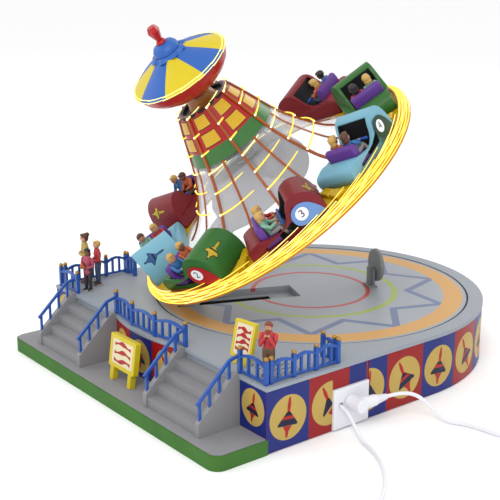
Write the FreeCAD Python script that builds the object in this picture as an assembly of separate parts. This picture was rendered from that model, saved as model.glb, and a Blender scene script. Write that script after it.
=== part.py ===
"""Tabletop carnival ride: a tilting spinning-top wheel of eight cars on a turntable deck.

Frame: millimetres, +Z up, the front (stairs) faces -Y.
Origin: the turntable axis where it meets the ground.
"""
import math
import os

import FreeCAD
import Part

V = FreeCAD.Vector

# ---- driving sizes -------------------------------------------------------------------
DECK_R = 125.0                   # half width of the deck and radius of its round back
DECK_TOP = 42.0
DECK_FRONT = 143.0               # from the turntable axis to the deck's front edge
DECK_PLATE = 2.4
WALL = 2.4
FRONT_BULGE = 6.2                # how far the front edge bows out between the stairs
BULGE_HALF = 38.8
PAD_H = 10.0
PAD_FRONT = 180.0
PAD_CORNER = 8.0
TRIM = 1.0                       # thickness of the green edging
CARD = 0.9                       # thickness of the printed panels

STAIR_IN = 39.4                  # inner and outer faces of each stair
STAIR_OUT = 99.2
STAIR_RUN = 28.4
STAIR_RISERS = 5
CHEEK = 4.0

POST_W = 2.4                     # railings
POST_H = 14.6
BALL_R = 1.55
BALUSTER = 1.5
RAIL_W = 1.7

DISC_R = 113.8                   # turntable
DISC_T = 2.6
DISC_TOP = DECK_TOP - 0.3
PAN_R = 106.0
PAN_BOTTOM = 17.0
SLOT_W = 27.0
SLOT_IN = 11.8
SLOT_OUT = 103.0
TRAY_DEPTH = 5.0
WELL_W = 16.0                    # inner, deeper part of the slot

LEAN_AZ = 248.0                  # the slot's direction, and the way the wheel leans
TILT = 37.9                      # lean of the wheel's axis from vertical
HUB_OUT = 31.6                   # centre of the car ring: offset along the slot
HUB_Z = 122.0                    # and height above the ground
HINGE_OUT = 95.0                 # boom hinge: along the slot and above the ground
HINGE_Z = 31.0
PIN_R = 2.5
BOOM_W = 13.0

RING_OUT = 113.5                 # car ring, in the wheel's own frame
RING_LIP = 107.5
RING_IN = 75.0
FLOOR_T = 1.8
BAND_TOP = 2.2
BAND_BOTTOM = -5.0
LAMP_ROWS = 5
LAMP_ROW_HALF = 0.42
LAMP_ROW_LIFT = 0.4
HORN_T = 1.6
HORN_TOP = 79.8
CAR_COUNT = 8
CAR_PHASE = 349.0                # direction of car 1 round the ring
CAR_STEP = 45.0
CAR_IN = 77.5
CAR_OUT = 107.0
STRIP_COUNT = 8
STRIP_PHASE = 36.0

CORD_R = 1.2                     # supply lead
LEAD_R = 1.2                     # second, captive lead


# ---- small helpers -------------------------------------------------------------------
def save(name, shape):
    """Write one named piece."""
    shape.exportStep("parts/" + name + ".step")


def box(x0, x1, y0, y1, z0, z1):
    """Box from its limits."""
    return Part.makeBox(x1 - x0, y1 - y0, z1 - z0, V(x0, y0, z0))


def cyl(r, h, at=(0, 0, 0), axis=(0, 0, 1)):
    """Cylinder from its base centre."""
    return Part.makeCylinder(r, h, V(*at), V(*axis))


def ball(r, at):
    """Sphere about a centre."""
    return Part.makeSphere(r, V(*at))


def fuse(shapes):
    """One shape from several."""
    out = shapes[0]
    if len(shapes) > 1:
        out = out.multiFuse(shapes[1:])
    return out.removeSplitter()


def group(shapes):
    """Separate solids kept in one piece file."""
    solids = []
    for item in shapes:
        solids.extend(item.Solids)
    return Part.makeCompound(solids)


def polygon(points):
    """Closed face through points in order."""
    pts = [V(*p) for p in points]
    return Part.Face(Part.makePolygon(pts + [pts[0]]))


def prism(points, direction):
    """Extrude the face through the points."""
    return polygon(points).extrude(V(*direction))


def revolve(profile, axis_at=(0, 0, 0)):
    """Solid of revolution about Z from (radius, height) points."""
    pts = [V(r + axis_at[0], axis_at[1], z + axis_at[2]) for r, z in profile]
    face = Part.Face(Part.makePolygon(pts + [pts[0]]))
    return face.revolve(V(*axis_at), V(0, 0, 1), 360)


def soften(shape, radius, pick):
    """Round the edges that pick() accepts, with a smaller radius if the first is too big."""
    edges = [e for e in shape.Edges if pick(e)]
    for r in (radius, radius * 0.6, radius * 0.3):
        if not edges:
            break
        try:
            out = shape.makeFillet(r, edges)
        except Part.OCCError:
            continue
        if out.isValid() and out.Volume > 0:
            return out
    return shape


def mid(edge):
    """Middle point of an edge."""
    return edge.valueAt((edge.FirstParameter + edge.LastParameter) / 2)


def turn(shape, angle, about=(0, 0, 0), axis=(0, 0, 1)):
    """Rotated copy."""
    out = shape.copy()
    out.rotate(V(*about), V(*axis), angle)
    return out


def shift(shape, move):
    """Translated copy."""
    out = shape.copy()
    out.translate(V(*move))
    return out


def mirror_x(shape):
    """Copy mirrored to the other side of the ride."""
    return shape.mirror(V(0, 0, 0), V(1, 0, 0))


# ---- base ----------------------------------------------------------------------------
def deck_face(inset, z, with_bulge=True):
    """Plan of the deck: round back, straight sides, gently bowed front."""
    r = DECK_R - inset
    front = -DECK_FRONT + inset
    edges = [Part.Arc(V(r, 0, z), V(0, r, z), V(-r, 0, z)).toShape()]
    edges.append(Part.LineSegment(V(-r, 0, z), V(-r, front, z)).toShape())
    if with_bulge:
        bow = front - FRONT_BULGE
        edges.append(Part.LineSegment(V(-r, front, z), V(-BULGE_HALF, front, z)).toShape())
        arc = Part.Arc(V(-BULGE_HALF, front, z), V(0, bow, z), V(BULGE_HALF, front, z))
        edges.append(arc.toShape())
        edges.append(Part.LineSegment(V(BULGE_HALF, front, z), V(r, front, z)).toShape())
    else:
        edges.append(Part.LineSegment(V(-r, front, z), V(r, front, z)).toShape())
    edges.append(Part.LineSegment(V(r, front, z), V(r, 0, z)).toShape())
    return Part.Face(Part.Wire(edges))


def deck_solid(inset, z0, z1):
    """Deck plan pulled up between two heights."""
    return deck_face(inset, z0).extrude(V(0, 0, z1 - z0))


SCREW_SPOTS = ((112, -130), (-112, -130), (112, -20), (-112, -20))


def base_shell():
    """Deck plate with its lip, walls, turntable well ledge and screw bosses."""
    top = deck_solid(0, DECK_TOP - DECK_PLATE, DECK_TOP)
    wall_in = CARD + 0.4
    walls = deck_solid(wall_in, 0, DECK_TOP - DECK_PLATE)
    walls = walls.cut(deck_solid(wall_in + WALL, 0, DECK_TOP - DECK_PLATE))
    shell = top.fuse(walls)
    shell = shell.cut(cyl(DISC_R + 0.8, 10, (0, 0, DECK_TOP - 5)))
    ledge = cyl(DISC_R + 3.2, 6.0, (0, 0, 32.4)).cut(cyl(DISC_R - 7.0, 6.0, (0, 0, 32.4)))
    collar = cyl(DISC_R + 3.2, DECK_TOP - 32.4 - 0.5, (0, 0, 32.4))
    collar = collar.cut(cyl(DISC_R + 0.8, 20, (0, 0, 32.4)))
    shell = fuse([shell, ledge, collar])
    shell = shell.cut(box(118, 130, -90.5, -63.0, 3.0, 26.5))
    for x, y in SCREW_SPOTS:
        top_z = DECK_TOP - 1.0 if y < -100 else 33.0
        boss = cyl(4.0, top_z - 2.0, (x, y, 2.0)).cut(cyl(1.4, 14.0, (x, y, 2.0)))
        shell = shell.fuse(boss)
    return shell.removeSplitter()


def bottom_cover():
    """Flat plate closing the underside, with the bearing cup of the turntable."""
    plate = deck_solid(CARD + 0.4 + WALL + 0.2, 0, 2.0)
    cup = cyl(9.0, 9.0, (0, 0, 2.0)).cut(cyl(4.06, 20.0, (0, 0, 3.0)))
    plate = plate.fuse(cup)
    for x, y in SCREW_SPOTS:
        plate = plate.cut(cyl(1.9, 4.0, (x, y, -1)))
        plate = plate.cut(cyl(3.2, 1.2, (x, y, 0)))
    return plate.removeSplitter()


def cover_screws():
    """Four screws that hold the underside plate."""
    screws = []
    for x, y in SCREW_SPOTS:
        head = cyl(3.0, 1.0, (x, y, 0.2))
        head = head.cut(box(x - 2.2, x + 2.2, y - 0.35, y + 0.35, 0, 0.7))
        head = head.cut(box(x - 0.35, x + 0.35, y - 2.2, y + 2.2, 0, 0.7))
        screws.append(head.fuse(cyl(1.38, 10.0, (x, y, 1.2))))
    return group(screws)


def pad_face(inset, z):
    """Plan of the low front pad with rounded front corners."""
    x = DECK_R - inset
    y0 = -PAD_FRONT + inset
    y1 = -DECK_FRONT + 0.4 + CARD + 0.02
    c = PAD_CORNER - inset
    k = c * (1 - math.sqrt(0.5))
    e = [Part.LineSegment(V(-x, y1, z), V(-x, y0 + c, z)).toShape()]
    e.append(Part.Arc(V(-x, y0 + c, z), V(-x + k, y0 + k, z), V(-x + c, y0, z)).toShape())
    e.append(Part.LineSegment(V(-x + c, y0, z), V(x - c, y0, z)).toShape())
    e.append(Part.Arc(V(x - c, y0, z), V(x - k, y0 + k, z), V(x, y0 + c, z)).toShape())
    e.append(Part.LineSegment(V(x, y0 + c, z), V(x, y1, z)).toShape())
    e.append(Part.LineSegment(V(x, y1, z), V(-x, y1, z)).toShape())
    return Part.Face(Part.Wire(e))


def pad_slab():
    """Grey walkway in front of the deck."""
    slab = pad_face(TRIM, 0).extrude(V(0, 0, PAD_H))
    slab = slab.cut(deck_solid(CARD + 0.4, -1, PAD_H + 1))
    hollow = pad_face(TRIM + 2.6, -1).extrude(V(0, 0, PAD_H - 1.6))
    hollow = hollow.cut(deck_solid(CARD + 0.4 - 3.0, -2, PAD_H))
    return slab.cut(hollow).removeSplitter()


def pad_edging():
    """Green grass edging round the pad."""
    strip = pad_face(0, 0).extrude(V(0, 0, PAD_H - 0.6))
    strip = strip.cut(pad_face(TRIM, -1).extrude(V(0, 0, PAD_H + 3)))
    return strip.cut(deck_solid(CARD + 0.4, -1, PAD_H + 1))


def side_print_band():
    """Printed card round the sides and back, split by a narrow joint on each side."""
    band = deck_solid(0.4, 0.6, DECK_TOP - DECK_PLATE)
    band = band.cut(deck_solid(0.4 + CARD, 0, DECK_TOP))
    band = band.cut(box(-200, 200, -200, -DECK_FRONT + 0.4 + CARD, -1, 60))
    for s in (1, -1):
        band = band.cut(box(s * 124 - 3, s * 124 + 3, -62.6, -61.4, -1, 60))
    band = band.cut(box(118, 130, -91.6, -61.9, -1, 27.4))
    return band


def front_print_panels():
    """Printed card on the front wall: bowed centre and one short panel at each end."""
    card = deck_solid(0.4, PAD_H, DECK_TOP - DECK_PLATE)
    card = card.cut(deck_solid(0.4 + CARD, 0, DECK_TOP))
    front = box(-200, 200, -200, -DECK_FRONT + 0.4 + CARD, -1, 60)
    card = card.common(front)
    for s in (1, -1):
        x0, x1 = sorted((s * STAIR_IN, s * STAIR_OUT))
        card = card.cut(box(x0 - 0.3, x1 + 0.3, -200, 0, -1, 60))
    return group([card])


def stair():
    """Right-hand stair with its two sloped cheeks."""
    back = -DECK_FRONT + CARD + 0.4
    front = -DECK_FRONT - STAIR_RUN
    rise = (DECK_TOP - PAD_H) / STAIR_RISERS
    going = STAIR_RUN / (STAIR_RISERS - 1)
    pts = [(STAIR_IN, back, PAD_H), (STAIR_IN, front, PAD_H)]
    y = front
    z = PAD_H
    for _ in range(STAIR_RISERS - 1):
        z += rise
        pts.append((STAIR_IN, y, z))
        y += going
        pts.append((STAIR_IN, y, z))
    pts[-1] = (STAIR_IN, -DECK_FRONT - 0.02, z)
    pts.append((STAIR_IN, back, z))
    steps = prism(pts, (STAIR_OUT - STAIR_IN, 0, 0))
    cheek_pts = [
        (STAIR_IN, back, PAD_H),
        (STAIR_IN, front - 1.2, PAD_H),
        (STAIR_IN, front - 1.2, PAD_H + rise + 2.0),
        (STAIR_IN, -DECK_FRONT - 3.4, DECK_TOP + 1.0),
        (STAIR_IN, -DECK_FRONT - 0.02, DECK_TOP + 1.0),
        (STAIR_IN, -DECK_FRONT - 0.02, DECK_TOP - DECK_PLATE),
        (STAIR_IN, back, DECK_TOP - DECK_PLATE),
    ]
    cheek = prism(cheek_pts, (CHEEK, 0, 0))
    outer = shift(cheek, (STAIR_OUT - STAIR_IN - CHEEK, 0, 0))
    return fuse([steps, cheek, outer])


# ---- railings ------------------------------------------------------------------------
def post(x, y, z=DECK_TOP, h=POST_H):
    """Square newel post."""
    w = POST_W / 2
    return box(x - w, x + w, y - w, y + w, z, z + h)


def finial(x, y, z=DECK_TOP, h=POST_H):
    """Gilt ball on a post."""
    return ball(BALL_R, (x, y, z + h + BALL_R * 0.75)).cut(
        box(x - 3, x + 3, y - 3, y + 3, z, z + h))


def bar(a, b, width, height):
    """Straight rectangular bar between two points, upright in section."""
    p = V(*a)
    q = V(*b)
    d = q - p
    side = d.cross(V(0, 0, 1))
    side.normalize()
    up = side.cross(d)
    up.normalize()
    corners = []
    for i, j in ((-1, -1), (1, -1), (1, 1), (-1, 1)):
        corners.append(p + side * (i * width / 2) + up * (j * height / 2))
    face = Part.Face(Part.makePolygon(corners + [corners[0]]))
    return face.extrude(d)


def arch_bar(a, b, low, high):
    """Arched top rail between two posts, in straight chords."""
    n = 6
    pts = []
    for i in range(n + 1):
        t = i / n
        x = a[0] + (b[0] - a[0]) * t
        y = a[1] + (b[1] - a[1]) * t
        pts.append((x, y, DECK_TOP + low + (high - low) * math.sin(math.pi * t)))
    pieces = [bar(pts[i], pts[i + 1], RAIL_W, RAIL_W) for i in range(n)]
    pieces += [ball(RAIL_W * 0.55, p) for p in pts[1:-1]]
    return pieces


def railing(points, balusters):
    """Posts at the points, with an arched bay between each pair."""
    parts = [post(x, y) for x, y in points]
    for (ax, ay), (bx, by) in zip(points[:-1], points[1:]):
        parts += arch_bar((ax, ay), (bx, by), POST_H - 4.2, POST_H - 1.2)
        low = DECK_TOP + 1.6
        parts.append(bar((ax, ay, low), (bx, by, low), RAIL_W, 1.4))
        for k in range(balusters):
            t = (k + 1) / (balusters + 1)
            x = ax + (bx - ax) * t
            y = ay + (by - ay) * t
            top = DECK_TOP + POST_H - 4.2 + 3.0 * math.sin(math.pi * t)
            w = BALUSTER / 2
            parts.append(box(x - w, x + w, y - w, y + w, low, top))
    return fuse(parts)


SIDE_X = 121.0
FRONT_Y = -140.2
FRONT_POSTS = [(96.6, FRONT_Y), (SIDE_X, FRONT_Y)]
SIDE_POSTS = [(SIDE_X, -136.6), (SIDE_X, -119.4), (SIDE_X, -101.9), (SIDE_X, -84.4)]
RETURN_POSTS = [(SIDE_X - 3.0, -84.4), (107.6, -84.4)]
CENTRE_POSTS = [(-41.4, -141.0), (-13.6, -145.6), (13.6, -145.6), (41.4, -141.0)]


def side_railing():
    """Right-hand deck railing: front bay, three side bays and the short return."""
    return fuse([railing(FRONT_POSTS, 2), railing(SIDE_POSTS, 2), railing(RETURN_POSTS, 1)])


def handrail(x):
    """Sloping stair rail standing on one cheek."""
    front = -DECK_FRONT - STAIR_RUN - 1.2
    rise = (DECK_TOP - PAD_H) / STAIR_RISERS
    z_front = PAD_H + rise + 2.0
    z_back = DECK_TOP + 1.0
    slope = (z_back - z_front) / ((-DECK_FRONT - 3.4) - front)
    parts = []
    rail_h = 11.0
    for dy in (2.2, 9.4, 16.6, 23.8):
        y = front + dy
        z = z_front + slope * dy
        w = BALUSTER / 2
        parts.append(box(x - w, x + w, y - w, y + w, z - 1.2, z + rail_h))
    knee = (x, front + 23.8, z_front + slope * 23.8 + rail_h)
    foot = (x, front + 0.2, z_front + slope * 0.2 + rail_h)
    parts.append(bar(foot, knee, RAIL_W, RAIL_W))
    parts.append(ball(RAIL_W * 0.55, knee))
    head = (x, -DECK_FRONT + 0.5, DECK_TOP + POST_H - 3.2)
    parts.append(bar(knee, head, RAIL_W, RAIL_W))
    return fuse(parts)


def stair_handrails():
    """Both handrails of the right-hand stair, with the outer newel post."""
    return group([handrail(STAIR_IN + CHEEK / 2), handrail(STAIR_OUT - CHEEK / 2)])


def all_finials():
    """Every gilt ball of the railings."""
    spots = FRONT_POSTS[:1] + [FRONT_POSTS[1]] + SIDE_POSTS + RETURN_POSTS
    balls = []
    for x, y in spots:
        balls.append(finial(x, y))
        balls.append(finial(-x, y))
    for x, y in CENTRE_POSTS:
        balls.append(finial(x, y))
    return group(balls)


# ---- figures and signs ---------------------------------------------------------------
def figure(x, y, height, facing, girth=1.0, held=False):
    """Small standing person on a round puddle base."""
    s = height / 36.0
    g = s * girth
    z = DECK_TOP
    base = Part.makeCone(4.6, 3.6, 1.2, V(0, 0, 0))
    legs = [Part.makeCone(1.5 * g, 1.9 * g, 15 * s, V(0, i * 1.7 * g, 1.0)) for i in (-1, 1)]
    shoes = [Part.makeBox(4.2 * g, 2.4 * g, 1.6, V(-1.6 * g, i * 1.8 * g - 1.2 * g, 0.8))
             for i in (-1, 1)]
    hips = Part.makeCone(3.0 * g, 3.2 * g, 4.0 * s, V(0, 0, 14.0 * s))
    chest = Part.makeCone(3.2 * g, 4.2 * g, 10.0 * s, V(0, 0, 17.5 * s))
    neck = Part.makeCylinder(1.3 * g, 3.0 * s, V(0, 0, 26.8 * s))
    head = Part.makeSphere(3.2 * s, V(0, 0, height - 3.3 * s))
    arms = []
    for i in (-1, 1):
        arms.append(Part.makeCone(1.5 * g, 1.2 * g, 9.0 * s, V(0, i * 4.0 * g, 26.2 * s),
                                  V(0.35, i * 0.15, -1)))
        arms.append(Part.makeCone(1.2 * g, 1.0 * g, 6.0 * s, V(3.0 * s, i * 5.2 * g, 18.0 * s),
                                  V(1, -i * 0.55, 0.35)))
    parts = [base, hips, chest, neck, head] + legs + shoes + arms
    if held:
        parts.append(Part.makeSphere(2.6 * s, V(6.2 * s, 0, 19.0 * s)))
    body = fuse(parts)
    body = turn(body, facing)
    return shift(body, (x, y, z))


def board(width, height, thick, leg, rim):
    """Sign frame with a shallow face recess and two legs, standing on z = 0, facing -Y."""
    panel = box(-width / 2, width / 2, -thick / 2, thick / 2, leg, leg + height)
    panel = soften(panel, 0.8, lambda e: abs(mid(e).y) < 0.1)
    recess = box(-width / 2 + rim, width / 2 - rim, -thick / 2 - 1, -thick / 2 + 0.7,
                 leg + rim, leg + height - rim)
    panel = panel.cut(recess)
    parts = [panel]
    for s in (-1, 1):
        x = s * (width / 2 - 4.4)
        parts.append(box(x - 1.9, x + 1.9, -thick / 2, thick / 2, 0, leg + 1.5))
    return fuse(parts)


def sign_face(width, height, thick, leg, rim):
    """Face card that lies in the frame's recess."""
    return box(-width / 2 + rim + 0.05, width / 2 - rim - 0.05, -thick / 2 + 0.2,
               -thick / 2 + 0.7, leg + rim + 0.05, leg + height - rim - 0.05)


def place_front_sign(shape):
    """Stand a piece of the entrance sign on the pad between the stairs."""
    return shift(turn(shape, -8, (0, 0, 0), (1, 0, 0)), (1.0, -164.0, PAD_H - 0.15))


def place_deck_sign(shape):
    """Stand a piece of the warning sign on the deck behind the right stair."""
    leaned = turn(shape, -14, (0, 0, 0), (1, 0, 0))
    return shift(turn(leaned, 8), (86.0, -132.0, DECK_TOP - 0.15))


def stand_on(shape, z):
    """Trim whatever sinks below a surface."""
    return shape.cut(box(-300, 300, -300, 300, z - 20, z))


# ---- supply inlet and leads ----------------------------------------------------------
JACK = (125.0, -78.8, 17.8)
LEAD_HOLE = (123.0, -86.0, 16.6)
LEAD_HOLE_R = 1.8                # leaves room for the lead to droop


def inlet_panel():
    """White inlet block let into the right-hand wall."""
    front = box(123.7, 126.6, -91.4, -62.2, 1.0, 27.2)
    front = soften(front, 0.9, lambda e: abs(mid(e).x - 126.6) < 0.01)
    back = box(117.0, 123.7, -89.8, -63.8, 3.6, 25.8)
    body = front.fuse(back)
    body = body.cut(cyl(2.75, 12, (119.0, JACK[1], JACK[2]), (1, 0, 0)))
    body = body.fuse(cyl(0.9, 6.0, (118.0, JACK[1], JACK[2]), (1, 0, 0)))
    return body.cut(cyl(LEAD_HOLE_R, 8, LEAD_HOLE, (1, 0, 0)))


PLUG_OUT = V(0.10, 1.0, 0.02)
PLUG_OUT.normalize()
GRIP_START = V(134.4, -78.4, 17.8)
GRIP_LEN = 12.4
GRIP_END = GRIP_START + PLUG_OUT * GRIP_LEN
CORD_START = GRIP_END + PLUG_OUT * 7.6


def plug():
    """Angled plug: tip in the socket, round body, grip and ribbed strain relief."""
    x0 = 126.7
    y, z = JACK[1], JACK[2]
    body = cyl(4.5, 12.3, (x0, y, z), (1, 0, 0))
    body = soften(body, 1.0, lambda e: True)
    tip = cyl(2.65, 7.6, (x0 - 6.6, y, z), (1, 0, 0))
    grip = Part.makeCone(4.3, 3.5, GRIP_LEN, GRIP_START, PLUG_OUT)
    parts = [body, tip, grip]
    for i in range(5):
        start = GRIP_END + PLUG_OUT * (i * 1.9 - 0.1)
        r = 3.1 - 0.32 * i
        parts.append(Part.makeCylinder(r, 1.25, start, PLUG_OUT))
        parts.append(Part.makeCylinder(r - 0.5, 1.95, start, PLUG_OUT))
    body = fuse(parts)
    body = body.cut(cyl(1.0, 8.0, (x0 - 7.0, y, z), (1, 0, 0)))
    return body.cut(Part.makeCylinder(CORD_R + 0.06, 3.0, CORD_START, PLUG_OUT))


def route_tube(points, radius, label):
    """Round tube along straight runs joined by the largest tangent arcs."""
    pts = [V(*p) for p in points]
    edges = []
    start = pts[0]
    radii = []
    for i in range(1, len(pts) - 1):
        a = (pts[i - 1] - pts[i])
        b = (pts[i + 1] - pts[i])
        run = min(a.Length, b.Length)
        a.normalize()
        b.normalize()
        turn_angle = math.pi - a.getAngle(b)
        cut = 0.45 * run
        radii.append(cut / math.tan(turn_angle / 2))
        p0 = pts[i] + a * cut
        p1 = pts[i] + b * cut
        bis = a + b
        bis.normalize()
        rad = radii[-1]
        centre = pts[i] + bis * math.hypot(cut, rad)
        middle = centre - bis * rad
        edges.append(Part.LineSegment(start, p0).toShape())
        edges.append(Part.Arc(p0, middle, p1).toShape())
        start = p1
    edges.append(Part.LineSegment(start, pts[-1]).toShape())
    path = Part.Wire(edges)
    first = edges[0].tangentAt(edges[0].FirstParameter)
    ring = Part.Wire([Part.Circle(pts[0], first, radius).toShape()])
    tube = path.makePipeShell([ring], True, False)
    expect = math.pi * radius * radius * path.Length
    print(label, "length %.1f" % path.Length, "radii", ["%.1f" % r for r in radii],
          "volume ratio %.4f" % (tube.Volume / expect), "valid", tube.isValid())
    return tube


CORD_ROUTE = [
    tuple(CORD_START), (138.0, -46.0, 18.6), (144.6, -37.6, 16.6), (150.8, -32.6, 9.4),
    (159.0, -27.6, 1.25), (170.0, -21.0, 1.25), (181.0, -18.5, 1.25), (193.0, -17.0, 1.25),
    (204.5, -10.8, 1.25), (213.0, -2.2, 1.25),
]
COIL_AT = (204.0, 14.0)
COIL_IN = 9.0
COIL_OUT = 19.0
COIL_H = 9.9
ADAPTOR_AT = (221.7, 58.0, 0.0)
TAIL_Z = 8.6
TAIL_ROUTE = [(221.7, 20.0, TAIL_Z), (221.7, 33.8, TAIL_Z)]
LEAD_ROUTE = [
    (123.0, -86.0, 16.6), (131.0, -86.2, 15.6), (138.0, -86.6, 9.6), (146.5, -87.6, 1.25),
    (158.0, -90.5, 1.25), (172.0, -97.0, 1.25), (186.0, -107.5, 1.25), (199.0, -121.0, 1.25),
    (209.0, -137.0, 1.25), (216.0, -152.0, 3.6),
]


def cord_coil():
    """Outer shape of the unused supply lead, wound into a neat ring that lies flat."""
    at = (COIL_AT[0], COIL_AT[1], 0.05)
    ring = cyl(COIL_OUT, COIL_H, at).cut(cyl(COIL_IN, COIL_H, at))
    return soften(ring, 1.2, lambda e: True)


def adaptor():
    """Small wall adaptor at the far end of the supply lead."""
    body = box(-14, 14, -19, 19, 0.1, 24)
    body = soften(body, 3.0, lambda e: mid(e).z > 0.2)
    neck = Part.makeCone(3.4, 2.0, 7.0, V(0, -19, TAIL_Z), V(0, -1, 0))
    neck = neck.cut(Part.makeCylinder(CORD_R + 0.06, 2.0, V(0, -24.2, TAIL_Z), V(0, -1, 0)))
    return shift(fuse([body, neck]), ADAPTOR_AT)


def adaptor_pins():
    """Two round contact pins."""
    pins = []
    for s in (-1, 1):
        pin = cyl(2.0, 17.0, (s * 9.5, 19.0, 12.0), (0, 1, 0))
        pins.append(soften(pin, 0.9, lambda e: mid(e).y > 35.5))
    return shift(group(pins), ADAPTOR_AT)


def lead_connector():
    """Small moulded connector at the end of the second lead."""
    body = box(-4.2, 4.2, 5.0, 21.0, 0.1, 7.1)
    body = soften(body, 1.2, lambda e: 5.5 < mid(e).y < 20.5 or mid(e).z > 6.9)
    relief = Part.makeCone(2.1, 3.0, 6.0, V(0, 0, 3.6), V(0, 1, 0))
    socket = box(-2.6, 2.6, 15.0, 22.0, 2.2, 5.0)
    whole = body.fuse(relief).cut(socket)
    whole = whole.cut(cyl(LEAD_R + 0.06, 2.5, (0, -0.1, 3.6), (0, 1, 0)))
    x, y, _ = LEAD_ROUTE[-1]
    way = V(x - LEAD_ROUTE[-2][0], y - LEAD_ROUTE[-2][1], 0)
    way.normalize()
    heading = math.degrees(math.atan2(way.y, way.x)) - 90
    return shift(turn(whole, heading), (x - way.x * 2.2, y - way.y * 2.2, 0))


# ---- turntable -----------------------------------------------------------------------
def along_slot(shape):
    """Turn a piece drawn along +X into the slot's direction."""
    return turn(shape, LEAN_AZ)


def turntable_disc():
    """Printed disc with the slot for the boom."""
    disc = cyl(DISC_R, DISC_T, (0, 0, DISC_TOP - DISC_T))
    slot = along_slot(box(SLOT_IN, SLOT_OUT, -SLOT_W / 2, SLOT_W / 2, 0, 80))
    return disc.cut(slot)


def turntable_pan():
    """Drum under the disc with the stepped boom well and its bearing cheeks."""
    top = DISC_TOP - DISC_T
    drum = cyl(PAN_R, top - PAN_BOTTOM, (0, 0, PAN_BOTTOM))
    drum = drum.cut(cyl(PAN_R - 1.6, 40, (0, 0, PAN_BOTTOM + 2.0)))
    tray_z = DISC_TOP - TRAY_DEPTH
    w = SLOT_W / 2
    tray = box(SLOT_IN - 1.6, SLOT_OUT + 3, -w - 1.6, w + 1.6, tray_z - 1.6, top)
    tray = tray.cut(box(SLOT_IN, SLOT_OUT, -w, w, tray_z, 80))
    v = WELL_W / 2
    well = box(28.0, SLOT_OUT + 3, -v - 1.8, v + 1.8, PAN_BOTTOM + 1, tray_z)
    inner = box(30.0, SLOT_OUT + 0.4, -v, v, PAN_BOTTOM + 2.0, 80)
    boss = cyl(PIN_R + 3.0, 2 * v + 7.2, (HINGE_OUT, -v - 3.6, HINGE_Z), (0, 1, 0))
    hole = cyl(PIN_R + 0.06, 60, (HINGE_OUT, -30, HINGE_Z), (0, 1, 0))
    inside = fuse([tray, well, boss]).cut(inner).cut(hole)
    inside = inside.common(cyl(105.2, 80, (0, 0, 0)))
    return fuse([drum, along_slot(inside)])


def spindle():
    """Steel spindle on which the turntable runs."""
    return cyl(4.0, PAN_BOTTOM - 3.3, (0, 0, 3.3))


def turntable_motor():
    """Geared motor block under the turntable, with the spindle bearing."""
    block = box(-22, 22, -17, 17, 2.0, 15.6)
    block = soften(block, 2.0, lambda e: abs(mid(e).z - 9) < 3)
    block = block.cut(cyl(4.06, 20, (0, 0, 3.0)))
    block = block.cut(cyl(9.0, 9.0, (0, 0, 2.0)))
    can = cyl(6.6, 30, (-52.0, 0, 8.8), (1, 0, 0))
    return fuse([block, can])


def tilt_motor():
    """Geared motor beside the well that raises and lowers the boom."""
    block = box(HINGE_OUT - 26, HINGE_OUT - 5.2, 12.0, 30.0, PAN_BOTTOM + 2.0, 34.5)
    gear_case = box(HINGE_OUT - 8, HINGE_OUT + 3.4, 12.0, 20.0, PAN_BOTTOM + 2.0, 34.9)
    gear_case = gear_case.common(cyl(100.4, 80, (0, 0, 0)))
    case = fuse([block, gear_case])
    case = case.cut(cyl(PIN_R + 0.06, 60, (HINGE_OUT, -30, HINGE_Z), (0, 1, 0)))
    return along_slot(case)


def rest_post():
    """Ribbed post that stands on the disc opposite the slot."""
    core = box(-48.4, -43.4, -1.6, 1.6, DISC_TOP, DISC_TOP + 15.0)
    fin = box(-47.6, -46.0, -5.2, 5.2, DISC_TOP, DISC_TOP + 13.4)
    foot = box(-49.2, -42.4, -5.6, 5.6, DISC_TOP, DISC_TOP + 1.2)
    return shift(along_slot(fuse([core, fin, foot])), LATERAL)


def rest_disc():
    """Round buffer plate carried by the post, facing the hub."""
    plate = cyl(12.2, 3.4, (-51.8, 0, DISC_TOP + 16.0), (1, 0, 0))
    plate = soften(plate, 0.9, lambda e: True)
    return shift(along_slot(plate), LATERAL)


_AZ = math.radians(LEAN_AZ)
LATERAL = (-4.4 * math.sin(_AZ), 4.4 * math.cos(_AZ), 0.0)


# ---- tilted frame --------------------------------------------------------------------
def tilted(shape):
    """From the wheel's own frame (Z along its axis, X downhill) to the ride."""
    out = turn(shape, TILT, (0, 0, 0), (0, 1, 0))
    out = turn(out, LEAN_AZ)
    return shift(out, (HUB_OUT * math.cos(_AZ), HUB_OUT * math.sin(_AZ), HUB_Z))


HINGE_LOCAL = (105.9, -32.9)


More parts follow.
